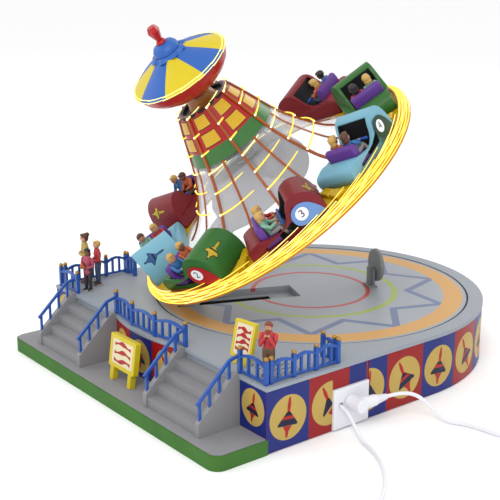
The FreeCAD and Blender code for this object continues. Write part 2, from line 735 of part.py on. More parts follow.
def boom_frame():
    """Boom: hinge boss, cranked arm and the motor housing's flat-sided half."""
    arm_pts = [
        (30.0, 8.0), (47.4, 4.3), (56.8, 1.6), (70.0, -5.5), (88.0, -15.0),
        (105.0, -25.6), (98.6, -34.0), (84.0, -27.5), (66.0, -16.0), (50.0, -8.0),
        (36.0, -5.5), (30.0, -8.0),
    ]
    half = BOOM_W / 2
    arm = prism([(u, -half, h) for u, h in arm_pts], (0, BOOM_W, 0))
    boss = cyl(7.0, BOOM_W, (HINGE_LOCAL[0], -half, HINGE_LOCAL[1]), (0, 1, 0))
    house_pts = [
        (1.0, 28.0), (34.6, 28.0), (37.2, 18.0), (42.0, 11.0), (44.0, -4.0), (38.0, -6.0),
        (28.0, -9.0), (-5.0, -9.0), (-8.0, 2.0), (1.0, 14.0),
    ]
    house = prism([(u, -11.0, h) for u, h in house_pts], (0, 22, 0))
    house = soften(house, 1.6, lambda e: abs(abs(mid(e).y) - 11.0) < 0.01 and mid(e).x > 5)
    frame = fuse([arm, boss, house])
    frame = frame.cut(cyl(PIN_R, 40, (HINGE_LOCAL[0], -20, HINGE_LOCAL[1]), (0, 1, 0)))
    frame = frame.cut(box(6.0, 33.0, -9.4, 9.4, -6.4, 24.6))
    frame = frame.fuse(bearing_tower())
    return frame.cut(cyl(3.06, 60, (0, 0, 0))).removeSplitter()


def motor_cap():
    """Rounded end of the housing, over the wheel's motor."""
    r = 18.5
    cx, cz = -16.5, 9.5
    y0 = -12.4
    top = V(cx, y0, cz + r)
    low = V(cx, y0, cz - r)
    left = V(cx - r, y0, cz)
    edges = [Part.LineSegment(V(1.0, y0, 28.0), top).toShape()]
    edges.append(Part.Arc(top, left, low).toShape())
    pts = [low, V(-5, y0, -9), V(-8, y0, 2), V(1, y0, 14), V(1, y0, 28)]
    for p, q in zip(pts[:-1], pts[1:]):
        edges.append(Part.LineSegment(p, q).toShape())
    cap = Part.Face(Part.Wire(edges)).extrude(V(0, 24.8, 0))
    cap = soften(cap, 2.2, lambda e: abs(abs(mid(e).y) - 12.4) < 0.01 and mid(e).x < -9)
    inner = cyl(13.0, 19.0, (cx + 2, -9.5, cz), (0, 1, 0))
    cap = cap.cut(inner)
    return cap.cut(cyl(4.6, 60, (0, 0, 0)))


def bearing_tower():
    """Bearing tube on the housing in which the wheel's shaft turns."""
    tube = cyl(4.5, 26.0, (0, 0, 10.0))
    flange = cyl(8.0, 1.6, (0, 0, 28.0))
    return fuse([tube, flange])


def hinge_pin():
    """Boom hinge pin, driven by the tilt motor."""
    return cyl(PIN_R, 30.0, (HINGE_LOCAL[0], -11.6, HINGE_LOCAL[1]), (0, 1, 0))


def wheel_motor():
    """Geared motor inside the housing, below the shaft."""
    return box(6.0, 31.0, -8.8, 8.8, -6.4, 18.0)


# ---- wheel ---------------------------------------------------------------------------
HORN = [
    (75.0, 0.0), (68.0, 2.4), (61.8, 6.0), (55.6, 11.2), (49.6, 18.6), (43.6, 27.2),
    (38.0, 36.4), (33.6, 46.0),
]
HORN_GREEN = [(33.6, 46.0), (31.2, 52.0), (29.9, 55.4)]
HORN_CHECK = [(29.9, 55.4), (25.8, 66.0), (22.6, 73.4), (19.9, HORN_TOP)]


def shell_of(profile, t):
    """Thin revolved shell inside a smooth outer profile."""
    outer = [V(r, 0, z) for r, z in profile]
    inner = [V(r - t, 0, z) for r, z in profile]
    if len(profile) > 3:
        a = Part.BSplineCurve()
        a.interpolate(outer)
        b = Part.BSplineCurve()
        b.interpolate(inner)
        sides = [a.toShape(), b.toShape()]
    else:
        sides = [Part.makePolygon(outer), Part.makePolygon(inner)]
    caps = [Part.makeLine(outer[0], inner[0]), Part.makeLine(outer[-1], inner[-1])]
    edges = []
    for s in sides + caps:
        edges.extend(s.Edges)
    wire = Part.Wire(Part.__sortEdges__(edges))
    return Part.Face(wire).revolve(V(0, 0, 0), V(0, 0, 1), 360)


def ring_floor():
    """Flat annular floor that the cars stand on."""
    pts = [(RING_IN - HORN_T, 0.0), (RING_LIP, 0.0), (RING_LIP, -FLOOR_T),
           (RING_IN - HORN_T, -FLOOR_T)]
    return revolve(pts)


def led_band():
    """Sloping outer fascia that carries the rows of lamps."""
    return revolve([
        (RING_LIP, BAND_TOP), (RING_LIP + 0.9, BAND_TOP), (RING_OUT, BAND_BOTTOM + 0.9),
        (RING_OUT, BAND_BOTTOM), (RING_OUT - 1.6, BAND_BOTTOM), (RING_LIP, -FLOOR_T),
    ])


def band_lamp_rows():
    """Five raised lamp strips round the fascia."""
    start = V(RING_LIP + 0.9, 0, BAND_TOP)
    slope = V(RING_OUT, 0, BAND_BOTTOM + 0.9) - start
    along = V(slope.x, 0, slope.z).normalize()
    out = V(-along.z, 0, along.x)
    rows = []
    for k in range(LAMP_ROWS):
        middle = start + slope * ((k + 0.5) / LAMP_ROWS)
        low, high = middle + along * LAMP_ROW_HALF, middle - along * LAMP_ROW_HALF
        corners = [high, low, low + out * LAMP_ROW_LIFT, high + out * LAMP_ROW_LIFT]
        rows.append(revolve([(c.x, c.z) for c in corners]))
    return group(rows)


def meridian(profile, angle, width, height, lift):
    """Narrow strip that lies on the horn along one meridian."""
    pts = [V(r + lift, -width / 2, z + lift * 0.4) for r, z in profile]
    back = [V(r + lift + height, -width / 2, z + lift * 0.4 + height * 0.4)
            for r, z in profile]
    loop = pts + back[::-1]
    face = Part.Face(Part.makePolygon(loop + [loop[0]]))
    return turn(face.extrude(V(0, width, 0)), angle)


def horn_lamp_strips():
    """Amber lamp strips: full-length ones on the check lines, short ones midway."""
    low = [(r, z) for r, z in HORN if r < 72.0]
    full = low + HORN_GREEN[1:] + HORN_CHECK[1:]
    skin = fuse([shell_of(HORN, HORN_T), shell_of(HORN_GREEN, HORN_T),
                 shell_of(HORN_CHECK, HORN_T)])
    step = 360.0 / STRIP_COUNT
    solids = []
    for i in range(STRIP_COUNT):
        main = meridian(full, STRIP_PHASE + step * i, 1.9, 1.5, -0.4)
        short = meridian(low, STRIP_PHASE + step * (i + 0.5), 1.5, 1.1, -0.4)
        for strip in (main, short):
            solids += [x for x in strip.cut(skin).Solids if x.Volume > 8.0]
    return Part.makeCompound(solids)


def bulkhead():
    """Black plate across the horn that ties it to the shaft."""
    plate = revolve([(3.0, 43.4), (33.3, 43.4), (32.1, 45.9), (3.0, 45.9)])
    hub = revolve([(3.0, 38.6), (7.0, 38.6), (7.0, 43.4), (3.0, 43.4)])
    whole = fuse([plate, hub]).common(revolve(
        [(0, 30), (39.6, 30), (38.0 - HORN_T, 36.4), (33.6 - HORN_T - 0.1, 45.95), (0, 45.95)]))
    whole = whole.cut(shell_of(HORN, HORN_T))
    return max(whole.Solids, key=lambda solid: solid.Volume)


def shaft():
    """Steel shaft of the wheel."""
    return cyl(3.0, 66.0, (0, 0, 19.0))


def horn_mouth():
    """Dark dished ring that closes the top of the horn."""
    r = 19.9 - HORN_T
    ring = revolve([(3.0, 75.6), (r + 1.2, 75.6), (r, HORN_TOP - 0.2), (r - 1.6, HORN_TOP - 0.2),
                    (r - 1.6, 77.4), (3.0, 77.4)])
    limit = revolve([(0, 70), (23.9 - HORN_T, 70), (22.6 - HORN_T, 73.4),
                     (19.9 - HORN_T, HORN_TOP), (0, HORN_TOP)])
    return ring.common(limit)


def neck():
    """Amber neck between the horn and the hat."""
    return revolve([(3.0, 77.4), (12.4, 77.4), (10.4, 81.0), (9.2, 84.4), (3.0, 84.4)])


def hatted(shape):
    """From the hat's own frame to the wheel's: the hat sits at a slant on its neck."""
    lean = math.degrees(math.acos(0.98318))
    out = turn(shape, lean, (0, 0, 0), (-0.1797, -0.0329, 0))
    return shift(out, (0, 0, 85.0))


HAT_RIM = (35.4, 21.9)


def hat_dish():
    """Dark blue dish below the bowl, on the stem that holds the hat's shells together."""
    dish = revolve([(0, 1.4), (8.6, 1.4), (15.2, 4.2), (15.2, 4.7), (0, 4.7)])
    stem = cyl(3.4, 39.5, (0, 0, -1.5))
    return fuse([dish, stem])


def hat_bowl():
    """Red bowl under the rim."""
    return revolve([
        (3.4, 4.7), (15.2, 4.7), (22.0, 7.4), (28.6, 11.6), (32.8, 16.0), HAT_RIM,
        (34.2, 21.9), (31.4, 16.6), (27.2, 12.8), (21.0, 9.0), (14.0, 6.4), (3.4, 6.4),
    ])


def hat_canopy():
    """Blue canopy with painted petals."""
    return revolve([
        HAT_RIM, (35.0, 23.0), (30.6, 25.6), (24.0, 29.0), (17.0, 32.2), (11.4, 35.2),
        (9.0, 36.8), (3.4, 36.8), (3.4, 35.2), (10.4, 33.9), (16.4, 30.8), (23.4, 27.6),
        (30.0, 24.2), (33.6, 21.9),
    ])


def hat_knob():
    """Blue domed knob."""
    knob = revolve([(0, 36.8), (9.0, 36.8), (9.4, 38.2), (9.0, 40.4), (7.4, 42.6), (4.6, 43.9),
                    (0, 44.2)])
    knob = knob.cut(cyl(3.4, 1.2, (0, 0, 36.8)))
    return knob


def finial_top():
    """Faceted red finial on a small collar."""
    collar = revolve([(0, 44.0), (3.3, 44.0), (3.5, 45.0), (2.6, 46.4), (0, 46.4)])
    collar = collar.cut(box(-9, 9, -9, 9, 43.0, 44.2))
    sides = 6
    levels = [(1.9, 46.4), (4.4, 53.6), (3.1, 57.0)]
    wires = []
    for r, z in levels:
        pts = []
        for k in range(sides):
            a = 2 * math.pi * k / sides
            pts.append(V(r * math.cos(a), r * math.sin(a), z))
        wires.append(Part.makePolygon(pts + [pts[0]]))
    gem = Part.makeLoft(wires, True, True)
    return fuse([collar, gem])


def hat_lamps():
    """Lamp beads on the hat's rim."""
    beads = []
    for k in range(12):
        a = 2 * math.pi * (k + 0.5) / 12
        beads.append(ball(1.1, (34.0 * math.cos(a), 34.0 * math.sin(a), 24.4)))
    return group([b.cut(hat_canopy()) for b in beads])


# ---- cars ----------------------------------------------------------------------------
CAR_LEN = 57.0                   # along the ring at the outer side
CAR_H = 27.0


def car_blank():
    """Side profile of a car (nose towards +Y) pulled through the ring's width."""
    pts = [
        (-27.0, 0.0), (-29.6, 3.6), (-28.4, 9.0), (-26.0, 10.6), (-16.0, 13.4), (-9.0, 12.4),
        (-3.0, 11.6), (2.0, 13.0), (5.4, 18.0), (8.0, 23.4), (11.6, 26.4), (16.0, CAR_H),
        (20.6, 25.2), (25.0, 20.4), (28.0, 12.6), (28.6, 5.0), (27.0, 0.0),
    ]
    side = [V(CAR_IN - 4, y, z) for y, z in pts]
    face = Part.Face(Part.makePolygon(side + [side[0]]))
    blank = face.extrude(V(CAR_OUT - CAR_IN + 10, 0, 0))
    keep = cyl(CAR_OUT, 40, (0, 0, 0))
    keep = keep.cut(cyl(CAR_IN, 40, (0, 0, 0)))
    a = 0.2967
    wedge = prism([(0, 0, -1), (150, -150 * math.tan(a + 0.03), -1),
                   (150, 150 * math.tan(a), -1)], (0, 0, 60))
    return blank.common(keep).common(wedge)


def car_body():
    """Car shell with an open cockpit."""
    blank = car_blank()
    blank = soften(blank, 2.0, lambda e: mid(e).z > 14 and e.Length > 3
                   and abs(math.hypot(mid(e).x, mid(e).y) - (CAR_OUT + CAR_IN) / 2) > 12)
    pit = box(CAR_IN + 2.6, CAR_OUT - 3.4, -17.0, 8.6, 4.0, 40)
    pit = pit.common(cyl(CAR_OUT - 2.6, 60, (0, 0, 0)))
    return blank.cut(pit)


def bench():
    """Padded bench with a rolled back."""
    seat = box(CAR_IN + 3.0, CAR_OUT - 3.8, -16.6, -6.0, 4.0, 9.0)
    back = box(CAR_IN + 3.0, CAR_OUT - 3.8, -16.6, -12.4, 9.0, 17.4)
    roll = cyl(2.6, CAR_OUT - CAR_IN - 6.8, (CAR_IN + 3.0, -14.2, 18.2), (1, 0, 0))
    return fuse([seat, back, roll]).common(cyl(CAR_OUT - 3.0, 60, (0, 0, 0)))


def rider(x):
    """Seated rider: legs forward, hands on the bar."""
    torso = Part.makeCone(3.4, 2.7, 8.6, V(x, -8.8, 9.0), V(0, -0.1, 1))
    neck_piece = cyl(1.2, 2.4, (x, -9.4, 16.6))
    head = ball(3.1, (x, -9.2, 20.6))
    thighs = [cyl(1.5, 10.0, (x + s * 1.8, -8.0, 10.6), (0, 1, -0.06)) for s in (-1, 1)]
    arms = [cyl(1.05, 9.0, (x + s * 3.2, -8.4, 15.2), (-s * 0.12, 1, -0.22))
            for s in (-1, 1)]
    return fuse([torso, neck_piece, head] + thighs + arms)


def grab_bar():
    """Blue bar across the cockpit in front of the riders."""
    span = CAR_OUT - CAR_IN - 6.6
    return cyl(0.9, span, (CAR_IN + 2.8, 0.6, 13.6), (1, 0, 0))


def at_car(shape, i):
    """Place a piece drawn on +X at car i of the ring."""
    return turn(shape, CAR_PHASE + CAR_STEP * i)


# ---- build ---------------------------------------------------------------------------
def both_sides(shape):
    """A right-hand piece and its mirror image."""
    return [shape, mirror_x(shape)]


def build_base():
    """Everything that stands still."""
    save("base_shell", base_shell())
    save("bottom_cover", bottom_cover())
    save("cover_screws", cover_screws())
    save("pad_slab", pad_slab())
    save("pad_edging", pad_edging())
    save("print_band", group([side_print_band(), front_print_panels()]))
    steps = stair()
    save("stairs", group(both_sides(steps)))
    save("deck_railings", group(both_sides(side_railing()) + [railing(CENTRE_POSTS, 3)]))
    rails = group([rail.cut(steps) for rail in stair_handrails().Solids])
    save("stair_handrails", group(both_sides(rails)))
    save("rail_finials", all_finials())
    save("figure_man", figure(110.6, -129.8, 34.0, -60, 1.15))
    save("figures_left", group([
        figure(-116.0, -122.0, 38.6, -20, 1.0),
        figure(-97.0, -131.0, 33.0, 30, 0.95, True),
        figure(-105.0, -118.0, 34.5, 200, 1.0),
    ]))
    front = (30.0, 22.0, 4.0, 9.0, 2.6)
    side = (17.0, 23.0, 2.6, 4.0, 1.8)
    boards = [stand_on(place_front_sign(board(*front)), PAD_H)]
    boards.append(stand_on(place_deck_sign(board(*side)), DECK_TOP))
    save("sign_boards", group(boards))
    faces = [place_front_sign(sign_face(*front)), place_deck_sign(sign_face(*side))]
    save("sign_faces", group(faces))
    save("inlet_panel", inlet_panel())
    save("turntable_motor", turntable_motor())


def build_cords():
    """Leads, plug and what hangs on them."""
    main = route_tube(CORD_ROUTE, CORD_R, "supply cord")
    tail = route_tube(TAIL_ROUTE, CORD_R, "supply tail")
    save("supply_plug", plug())
    save("supply_cord", group([main, tail]))
    save("supply_coil", cord_coil().cut(main).cut(tail))
    save("adaptor", fuse([adaptor(), adaptor_pins()]))
    save("second_lead", route_tube(LEAD_ROUTE, LEAD_R, "second lead"))
    save("lead_connector", lead_connector())


def build_turntable():
    """Everything that turns about the vertical axis only."""
    save("turntable_disc", turntable_disc())
    save("turntable_pan", turntable_pan())
    save("turntable_spindle", spindle())
    save("tilt_motor", tilt_motor())
    save("rest_post", rest_post())
    save("rest_disc", rest_disc())


def build_boom():
    """The tilting boom."""
    save("boom_frame", tilted(boom_frame()))
    save("motor_cap", tilted(motor_cap()))
    save("hinge_pin", tilted(hinge_pin()))
    save("wheel_motor", tilted(wheel_motor()))


def build_horn():
    """Ring, horn and hat of the wheel."""
    save("ring_floor", tilted(ring_floor()))
    save("led_band", tilted(led_band()))
    save("band_lamp_rows", tilted(band_lamp_rows()))
    save("horn_clear", tilted(shell_of(HORN, HORN_T)))
    save("horn_green", tilted(shell_of(HORN_GREEN, HORN_T)))
    save("horn_checks", tilted(shell_of(HORN_CHECK, HORN_T)))
    save("horn_lamp_strips", tilted(horn_lamp_strips()))
    save("bulkhead", tilted(bulkhead()))
    save("wheel_shaft", tilted(shaft()))
    save("horn_mouth", tilted(horn_mouth()))
    save("hat_neck", tilted(neck()))
    under = box(-20, 20, -20, 20, 60, 84.4).fuse(shaft())
    save("hat_dish", tilted(hatted(hat_dish()).cut(under)))
    hat = [("hat_bowl", hat_bowl), ("hat_canopy", hat_canopy), ("hat_knob", hat_knob),
           ("hat_finial", finial_top), ("hat_lamps", hat_lamps)]
    for name, make in hat:
        save(name, tilted(hatted(make())))


def build_cars():
    """Eight cars, each with a bench, a grab bar and two riders."""
    shell = car_body()
    seat = bench()
    rail = grab_bar()
    pair = [rider(x).cut(seat).cut(rail) for x in (CAR_IN + 8.6, CAR_OUT - 9.6)]
    for i in range(CAR_COUNT):
        save("car_%d" % (i + 1), tilted(at_car(shell, i)))
    every = range(CAR_COUNT)
    save("car_benches", group([tilted(at_car(seat, i)) for i in every]))
    save("car_bars", group([tilted(at_car(rail, i)) for i in every]))
    save("riders", group([tilted(at_car(p, i)) for i in every for p in pair]))


os.makedirs("parts", exist_ok=True)
build_base()
build_cords()
build_turntable()
build_boom()
build_horn()
build_cars()
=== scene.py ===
"""Looks of the tabletop carnival ride, built round the fixed CAD frame. Millimetres until a mesh is made."""
import math
import random

import bmesh
import bpy
from mathutils import Matrix, Vector


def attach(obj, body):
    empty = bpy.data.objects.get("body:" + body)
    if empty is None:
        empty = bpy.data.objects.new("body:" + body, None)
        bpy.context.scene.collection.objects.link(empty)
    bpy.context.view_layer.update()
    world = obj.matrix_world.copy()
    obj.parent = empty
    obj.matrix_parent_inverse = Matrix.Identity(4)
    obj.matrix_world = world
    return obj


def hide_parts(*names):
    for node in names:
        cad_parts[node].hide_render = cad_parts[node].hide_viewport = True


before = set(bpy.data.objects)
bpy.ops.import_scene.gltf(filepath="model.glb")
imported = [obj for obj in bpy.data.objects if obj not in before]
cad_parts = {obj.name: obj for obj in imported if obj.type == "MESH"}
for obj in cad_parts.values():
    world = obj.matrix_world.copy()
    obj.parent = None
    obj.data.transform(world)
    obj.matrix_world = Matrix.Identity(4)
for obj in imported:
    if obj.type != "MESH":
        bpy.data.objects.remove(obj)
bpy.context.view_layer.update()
MM = 0.001                          # metres in a millimetre

# ---- sizes shared with the CAD source, in millimetres -------------------------------
DECK_R = 124.6                      # face of the printed card
DECK_TOP = 42.0
DECK_FRONT = 142.6
BOW_CENTRE_Y = -24.7                # centre of the bowed front wall's arc
BOW_R = 124.1
BOW_HALF = 45                       # half-width of the bowed stretch
BAND_LOW = 0.6                      # lower and upper edge of the blue panels
BAND_HIGH = 39.6
PANEL_W = 32.5
LEAN_AZ = 248.0
TILT = 37.9
HUB_OUT = 31.6
HUB_Z = 122.0
HAT_LEAN = 10.52
HAT_LEAN_AXIS = (-0.1797, -0.0329, 0)
NECK_TOP = 85.0
RING_LIP = 107.5                    # radius where the wheel's floor meets its lamp fascia
RING_OUT = 113.5
CAR_IN = 77.5                       # radii between which the cars sit
CAR_OUT = 107.0
CAR_COUNT = 8
CAR_PHASE = 349.0
STRIP_COUNT = 8                     # lamp strips down the horn
STRIP_PHASE = 36.0
HORN = [
    (75.0, 0.0), (68.0, 2.4), (61.8, 6.0), (55.6, 11.2), (49.6, 18.6), (43.6, 27.2),
    (38.0, 36.4), (33.6, 46.0), (31.2, 52.0), (29.9, 55.4), (25.8, 66.0), (22.6, 73.4), (19.9, 79.8),
]
GREEN_LOW = 46.0                    # heights of the horn's green collar
GREEN_HIGH = 55.4
HORN_TOP = 79.8


def turned(degrees, axis="Z"):
    return Matrix.Rotation(math.radians(degrees), 4, axis)


def polar(r, a, z):
    """Point at radius r and angle a, in radians."""
    return r * math.cos(a), r * math.sin(a), z


HUB_AT = polar(HUB_OUT, math.radians(LEAN_AZ), HUB_Z)
WHEEL = Matrix.Translation(HUB_AT) @ (turned(LEAN_AZ) @ turned(TILT, "Y"))
HAT = WHEEL @ Matrix.Translation((0, 0, NECK_TOP)) @ turned(HAT_LEAN, HAT_LEAN_AXIS)
WORLD = Matrix.Identity(4)


# ---- materials ----------------------------------------------------------------------
def linear(red, green, blue):
    """Linear colour from screen values 0 to 255."""
    out = []
    for value in (red, green, blue):
        c = value / 255
        out.append(c / 12.92 if c <= 0.04045 else ((c + 0.055) / 1.055) ** 2.4)
    return out


def pigment(red, green, blue):
    """Linear paint colour, held back so that the bright surround doesn't wash it out."""
    strongest = max(red, green, blue)
    vivid = (strongest - min(red, green, blue)) / strongest
    k = 0.97 if vivid < 0.1 and strongest > 215 else 0.84 - 0.24 * vivid
    return [c * k for c in linear(red, green, blue)]


def scaled(colour, k):
    return [min(1.0, c * k) for c in colour] + [1.0]


def put(node, **values):
    """Start values of a node's inputs, their names written with _ for a space."""
    for name, value in values.items():
        node.inputs[name.replace("_", " ")].default_value = value


class Nodes:
    """Short way to add shader nodes to one material."""

    def __init__(self, name):
        self.mat = bpy.data.materials.new(name)
        self.mat.use_nodes = True
        self.tree = self.mat.node_tree
        self.shader = self.tree.nodes["Principled BSDF"]
        self.out = self.tree.nodes["Material Output"]
        self.coords = self.add("ShaderNodeTexCoord").outputs["Object"]

    def add(self, kind, **values):
        node = self.tree.nodes.new(kind)
        for key, value in values.items():
            setattr(node, key, value)
        return node

    def link(self, a, b):
        self.tree.links.new(a, b)

    def colour(self, source):
        self.link(source, self.shader.inputs["Base Color"])

    def math(self, op, a, b=None):
        node = self.add("ShaderNodeMath", operation=op)
        for socket, value in zip(node.inputs, (a, b)):
            if value is None:
                continue
            if isinstance(value, (int, float)):
                socket.default_value = value
            else:
                self.link(value, socket)
        return node.outputs[0]

    def noise(self, scale, detail=3.0, stretch=None):
        node = self.add("ShaderNodeTexNoise")
        put(node, Scale=scale, Detail=detail)
        source = self.coords
        if stretch:
            mapping = self.add("ShaderNodeMapping")
            put(mapping, Scale=stretch)
            self.link(self.coords, mapping.inputs["Vector"])
            source = mapping.outputs["Vector"]
        self.link(source, node.inputs["Vector"])
        return node.outputs["Fac"]

    def mix(self, factor, a, b):
        node = self.add("ShaderNodeMix", data_type="RGBA")
        if isinstance(factor, (int, float)):
            node.inputs["Factor"].default_value = factor
        else:
            self.link(factor, node.inputs["Factor"])
        for name, value in (("A", a), ("B", b)):
            socket = [s for s in node.inputs if s.name == name and s.type == "RGBA"][0]
            if isinstance(value, (list, tuple)):
                socket.default_value = value
            else:
                self.link(value, socket)
        return [s for s in node.outputs if s.type == "RGBA"][0]

    def bump(self, height, strength, distance, edge=0.0):
        node = self.add("ShaderNodeBump")
        put(node, Strength=strength, Distance=distance)
        self.link(height, node.inputs["Height"])
        if edge:
            bevel = self.add("ShaderNodeBevel")
            put(bevel, Radius=edge)
            self.link(bevel.outputs["Normal"], node.inputs["Normal"])
        self.link(node.outputs["Normal"], self.shader.inputs["Normal"])


def plastic(name, colour, rough=0.4, mottle=0.10, grain=900, bump=0.15, edge=0.0, coat=0.0, metal=0.0):
    """Painted or moulded plastic: faint cloudy colour, fine surface grain, optional soft edges."""
    n = Nodes(name)
    col = pigment(*colour)
    cloud = n.noise(55, 4)
    n.colour(n.mix(cloud, scaled(col, 1 - mottle), scaled(col, 1 + mottle)))
    fine = n.noise(grain, 2)
    ramp = n.add("ShaderNodeMapRange")
    put(ramp, To_Min=max(0.02, rough - 0.07), To_Max=rough + 0.08)
    n.link(cloud, ramp.inputs["Value"])
    n.link(ramp.outputs["Result"], n.shader.inputs["Roughness"])
    put(n.shader, Metallic=metal, Specular_IOR_Level=0.32, Coat_Weight=coat, Coat_Roughness=0.12)
    n.bump(fine, bump, 0.00012, edge)
    return n.mat


def painted(name, colour, dark=0.45, rough=0.5):
    """Hand-painted figure colour, darkened in the hollows by painted shade from ambient occlusion."""
    n = Nodes(name)
    col = pigment(*colour)
    blotch = n.mix(n.noise(420, 3), scaled(col, 0.82), scaled(col, 1.15))
    # painted shade: ambient occlusion darkens the colour in creases and hollows
    hollows = n.add("ShaderNodeAmbientOcclusion", samples=8)
    put(hollows, Distance=0.0022)
    painted_shade = n.math("POWER", hollows.outputs["AO"], 1.3)
    n.colour(n.mix(painted_shade, scaled(col, dark), blotch))
    put(n.shader, Roughness=rough)
    n.bump(n.noise(1500, 2), 0.25, 0.00015)
    return n.mat


def glowing(name, colour, strength):
    """Lit lamp or light streak, a little uneven along its length."""
    n = Nodes(name)
    n.tree.nodes.remove(n.shader)
    lamp = n.add("ShaderNodeEmission")
    col = linear(*colour)
    n.link(n.mix(n.noise(180, 2), scaled(col, 0.85), scaled(col, 1.1)), lamp.inputs["Color"])
    put(lamp, Strength=strength)
    n.link(lamp.outputs["Emission"], n.out.inputs["Surface"])
    return n.mat


def clear_plastic(name):
    """Thin clear moulding: mostly see-through, with gloss at a glance and a faint haze."""
    n = Nodes(name)
    put(n.shader, Roughness=0.06, Base_Color=(0.93, 0.94, 0.96, 1))
    through = n.add("ShaderNodeBsdfTransparent")
    put(through, Color=(0.965, 0.97, 0.975, 1))
    edge = n.add("ShaderNodeLayerWeight")
    put(edge, Blend=0.28)
    haze = n.math("MULTIPLY", n.noise(60, 4, (1, 1, 0.3)), 0.16)
    body = n.math("ADD", n.math("MULTIPLY", edge.outputs["Facing"], 0.42), haze)
    shader = n.add("ShaderNodeMixShader")
    n.link(n.math("MINIMUM", body, 0.75), shader.inputs[0])
    n.link(through.outputs[0], shader.inputs[1])
    n.link(n.shader.outputs[0], shader.inputs[2])
    n.link(shader.outputs[0], n.out.inputs["Surface"])
    n.bump(n.noise(90, 2), 0.2, 0.0003)
    return n.mat


STAR_POINTS = 10
STAR_PHASE = 77                     # degrees
DISC_UNIT = 125                     # mm; the star and the rings are given as shares of it
STAR_TIP = 0.775
STAR_NOTCH = 0.57
STAR_LINE = 0.02
STAR_TINT = (105, 122, 165)
DISC_RINGS_AND_EDGE_SHADE = [
    (0.478, 0.512, (170, 196, 74)), (0.325, 0.352, (205, 70, 74)), (0.775, 0.885, (232, 174, 84)),
    # the last band, dark from 0.905 outward, is painted shade of the gap round the disc
    (0.905, 2.0, (30, 30, 32)),
]


def disc_paint(name):
    """Grey disc with its printed rings and ten-pointed star, and a dark edge band of painted shade, worked
    out from the place on it.
    """
    n = Nodes(name)
    split = n.add("ShaderNodeSeparateXYZ")
    n.link(n.coords, split.inputs[0])

    def times(a, b):
        return n.math("MULTIPLY", a, b)

    x, y = [times(split.outputs[i], 1 / (DISC_UNIT * MM)) for i in (0, 1)]
    radius = n.math("SQRT", n.math("ADD", times(x, x), times(y, y)))
    step = 2 * math.pi / STAR_POINTS
    shifted = n.math("ADD", n.math("ARCTAN2", y, x), math.radians(STAR_PHASE) + (STAR_POINTS + 0.5) * step)
    folded = n.math("ABSOLUTE", n.math("SUBTRACT", n.math("MODULO", shifted, step), step / 2))
    px = times(radius, n.math("COSINE", folded))
    py = times(radius, n.math("SINE", folded))
    nx, ny, _ = polar(STAR_NOTCH, step / 2, 0)
    length = math.hypot(STAR_TIP - nx, ny)
    across = n.math("ADD", times(n.math("SUBTRACT", px, STAR_TIP), ny / length),
                    times(py, (STAR_TIP - nx) / length))
    masks = [(n.math("LESS_THAN", n.math("ABSOLUTE", across), STAR_LINE), STAR_TINT)]
    for low, high, tint in DISC_RINGS_AND_EDGE_SHADE:
        masks.append((times(n.math("GREATER_THAN", radius, low), n.math("LESS_THAN", radius, high)), tint))
    grey = pigment(160, 167, 178)
    colour = n.mix(n.noise(50, 4), scaled(grey, 0.93), scaled(grey, 1.07))
    for mask, tint in masks:
        colour = n.mix(mask, colour, pigment(*tint) + [1])
    n.colour(colour)
    put(n.shader, Roughness=0.42)
    n.bump(n.noise(800, 2), 0.1, 0.0001)
    return n.mat


WELL_SHADE_EDGE = 0.0362                  # height in metres below which the tray is painted black, as shade in the deep gap round the disc


def tray_paint(name):
    """Grey upper tray, deeper well painted black as shade."""
    n = Nodes(name)
    split = n.add("ShaderNodeSeparateXYZ")
    n.link(n.coords, split.inputs[0])
    upper = n.math("GREATER_THAN", split.outputs[2], WELL_SHADE_EDGE)
    n.colour(n.mix(upper, (0.012, 0.012, 0.013, 1), linear(140, 146, 152) + [1]))
    put(n.shader, Roughness=0.5)
    n.bump(n.noise(700, 2), 0.1, 0.0001)
    return n.mat


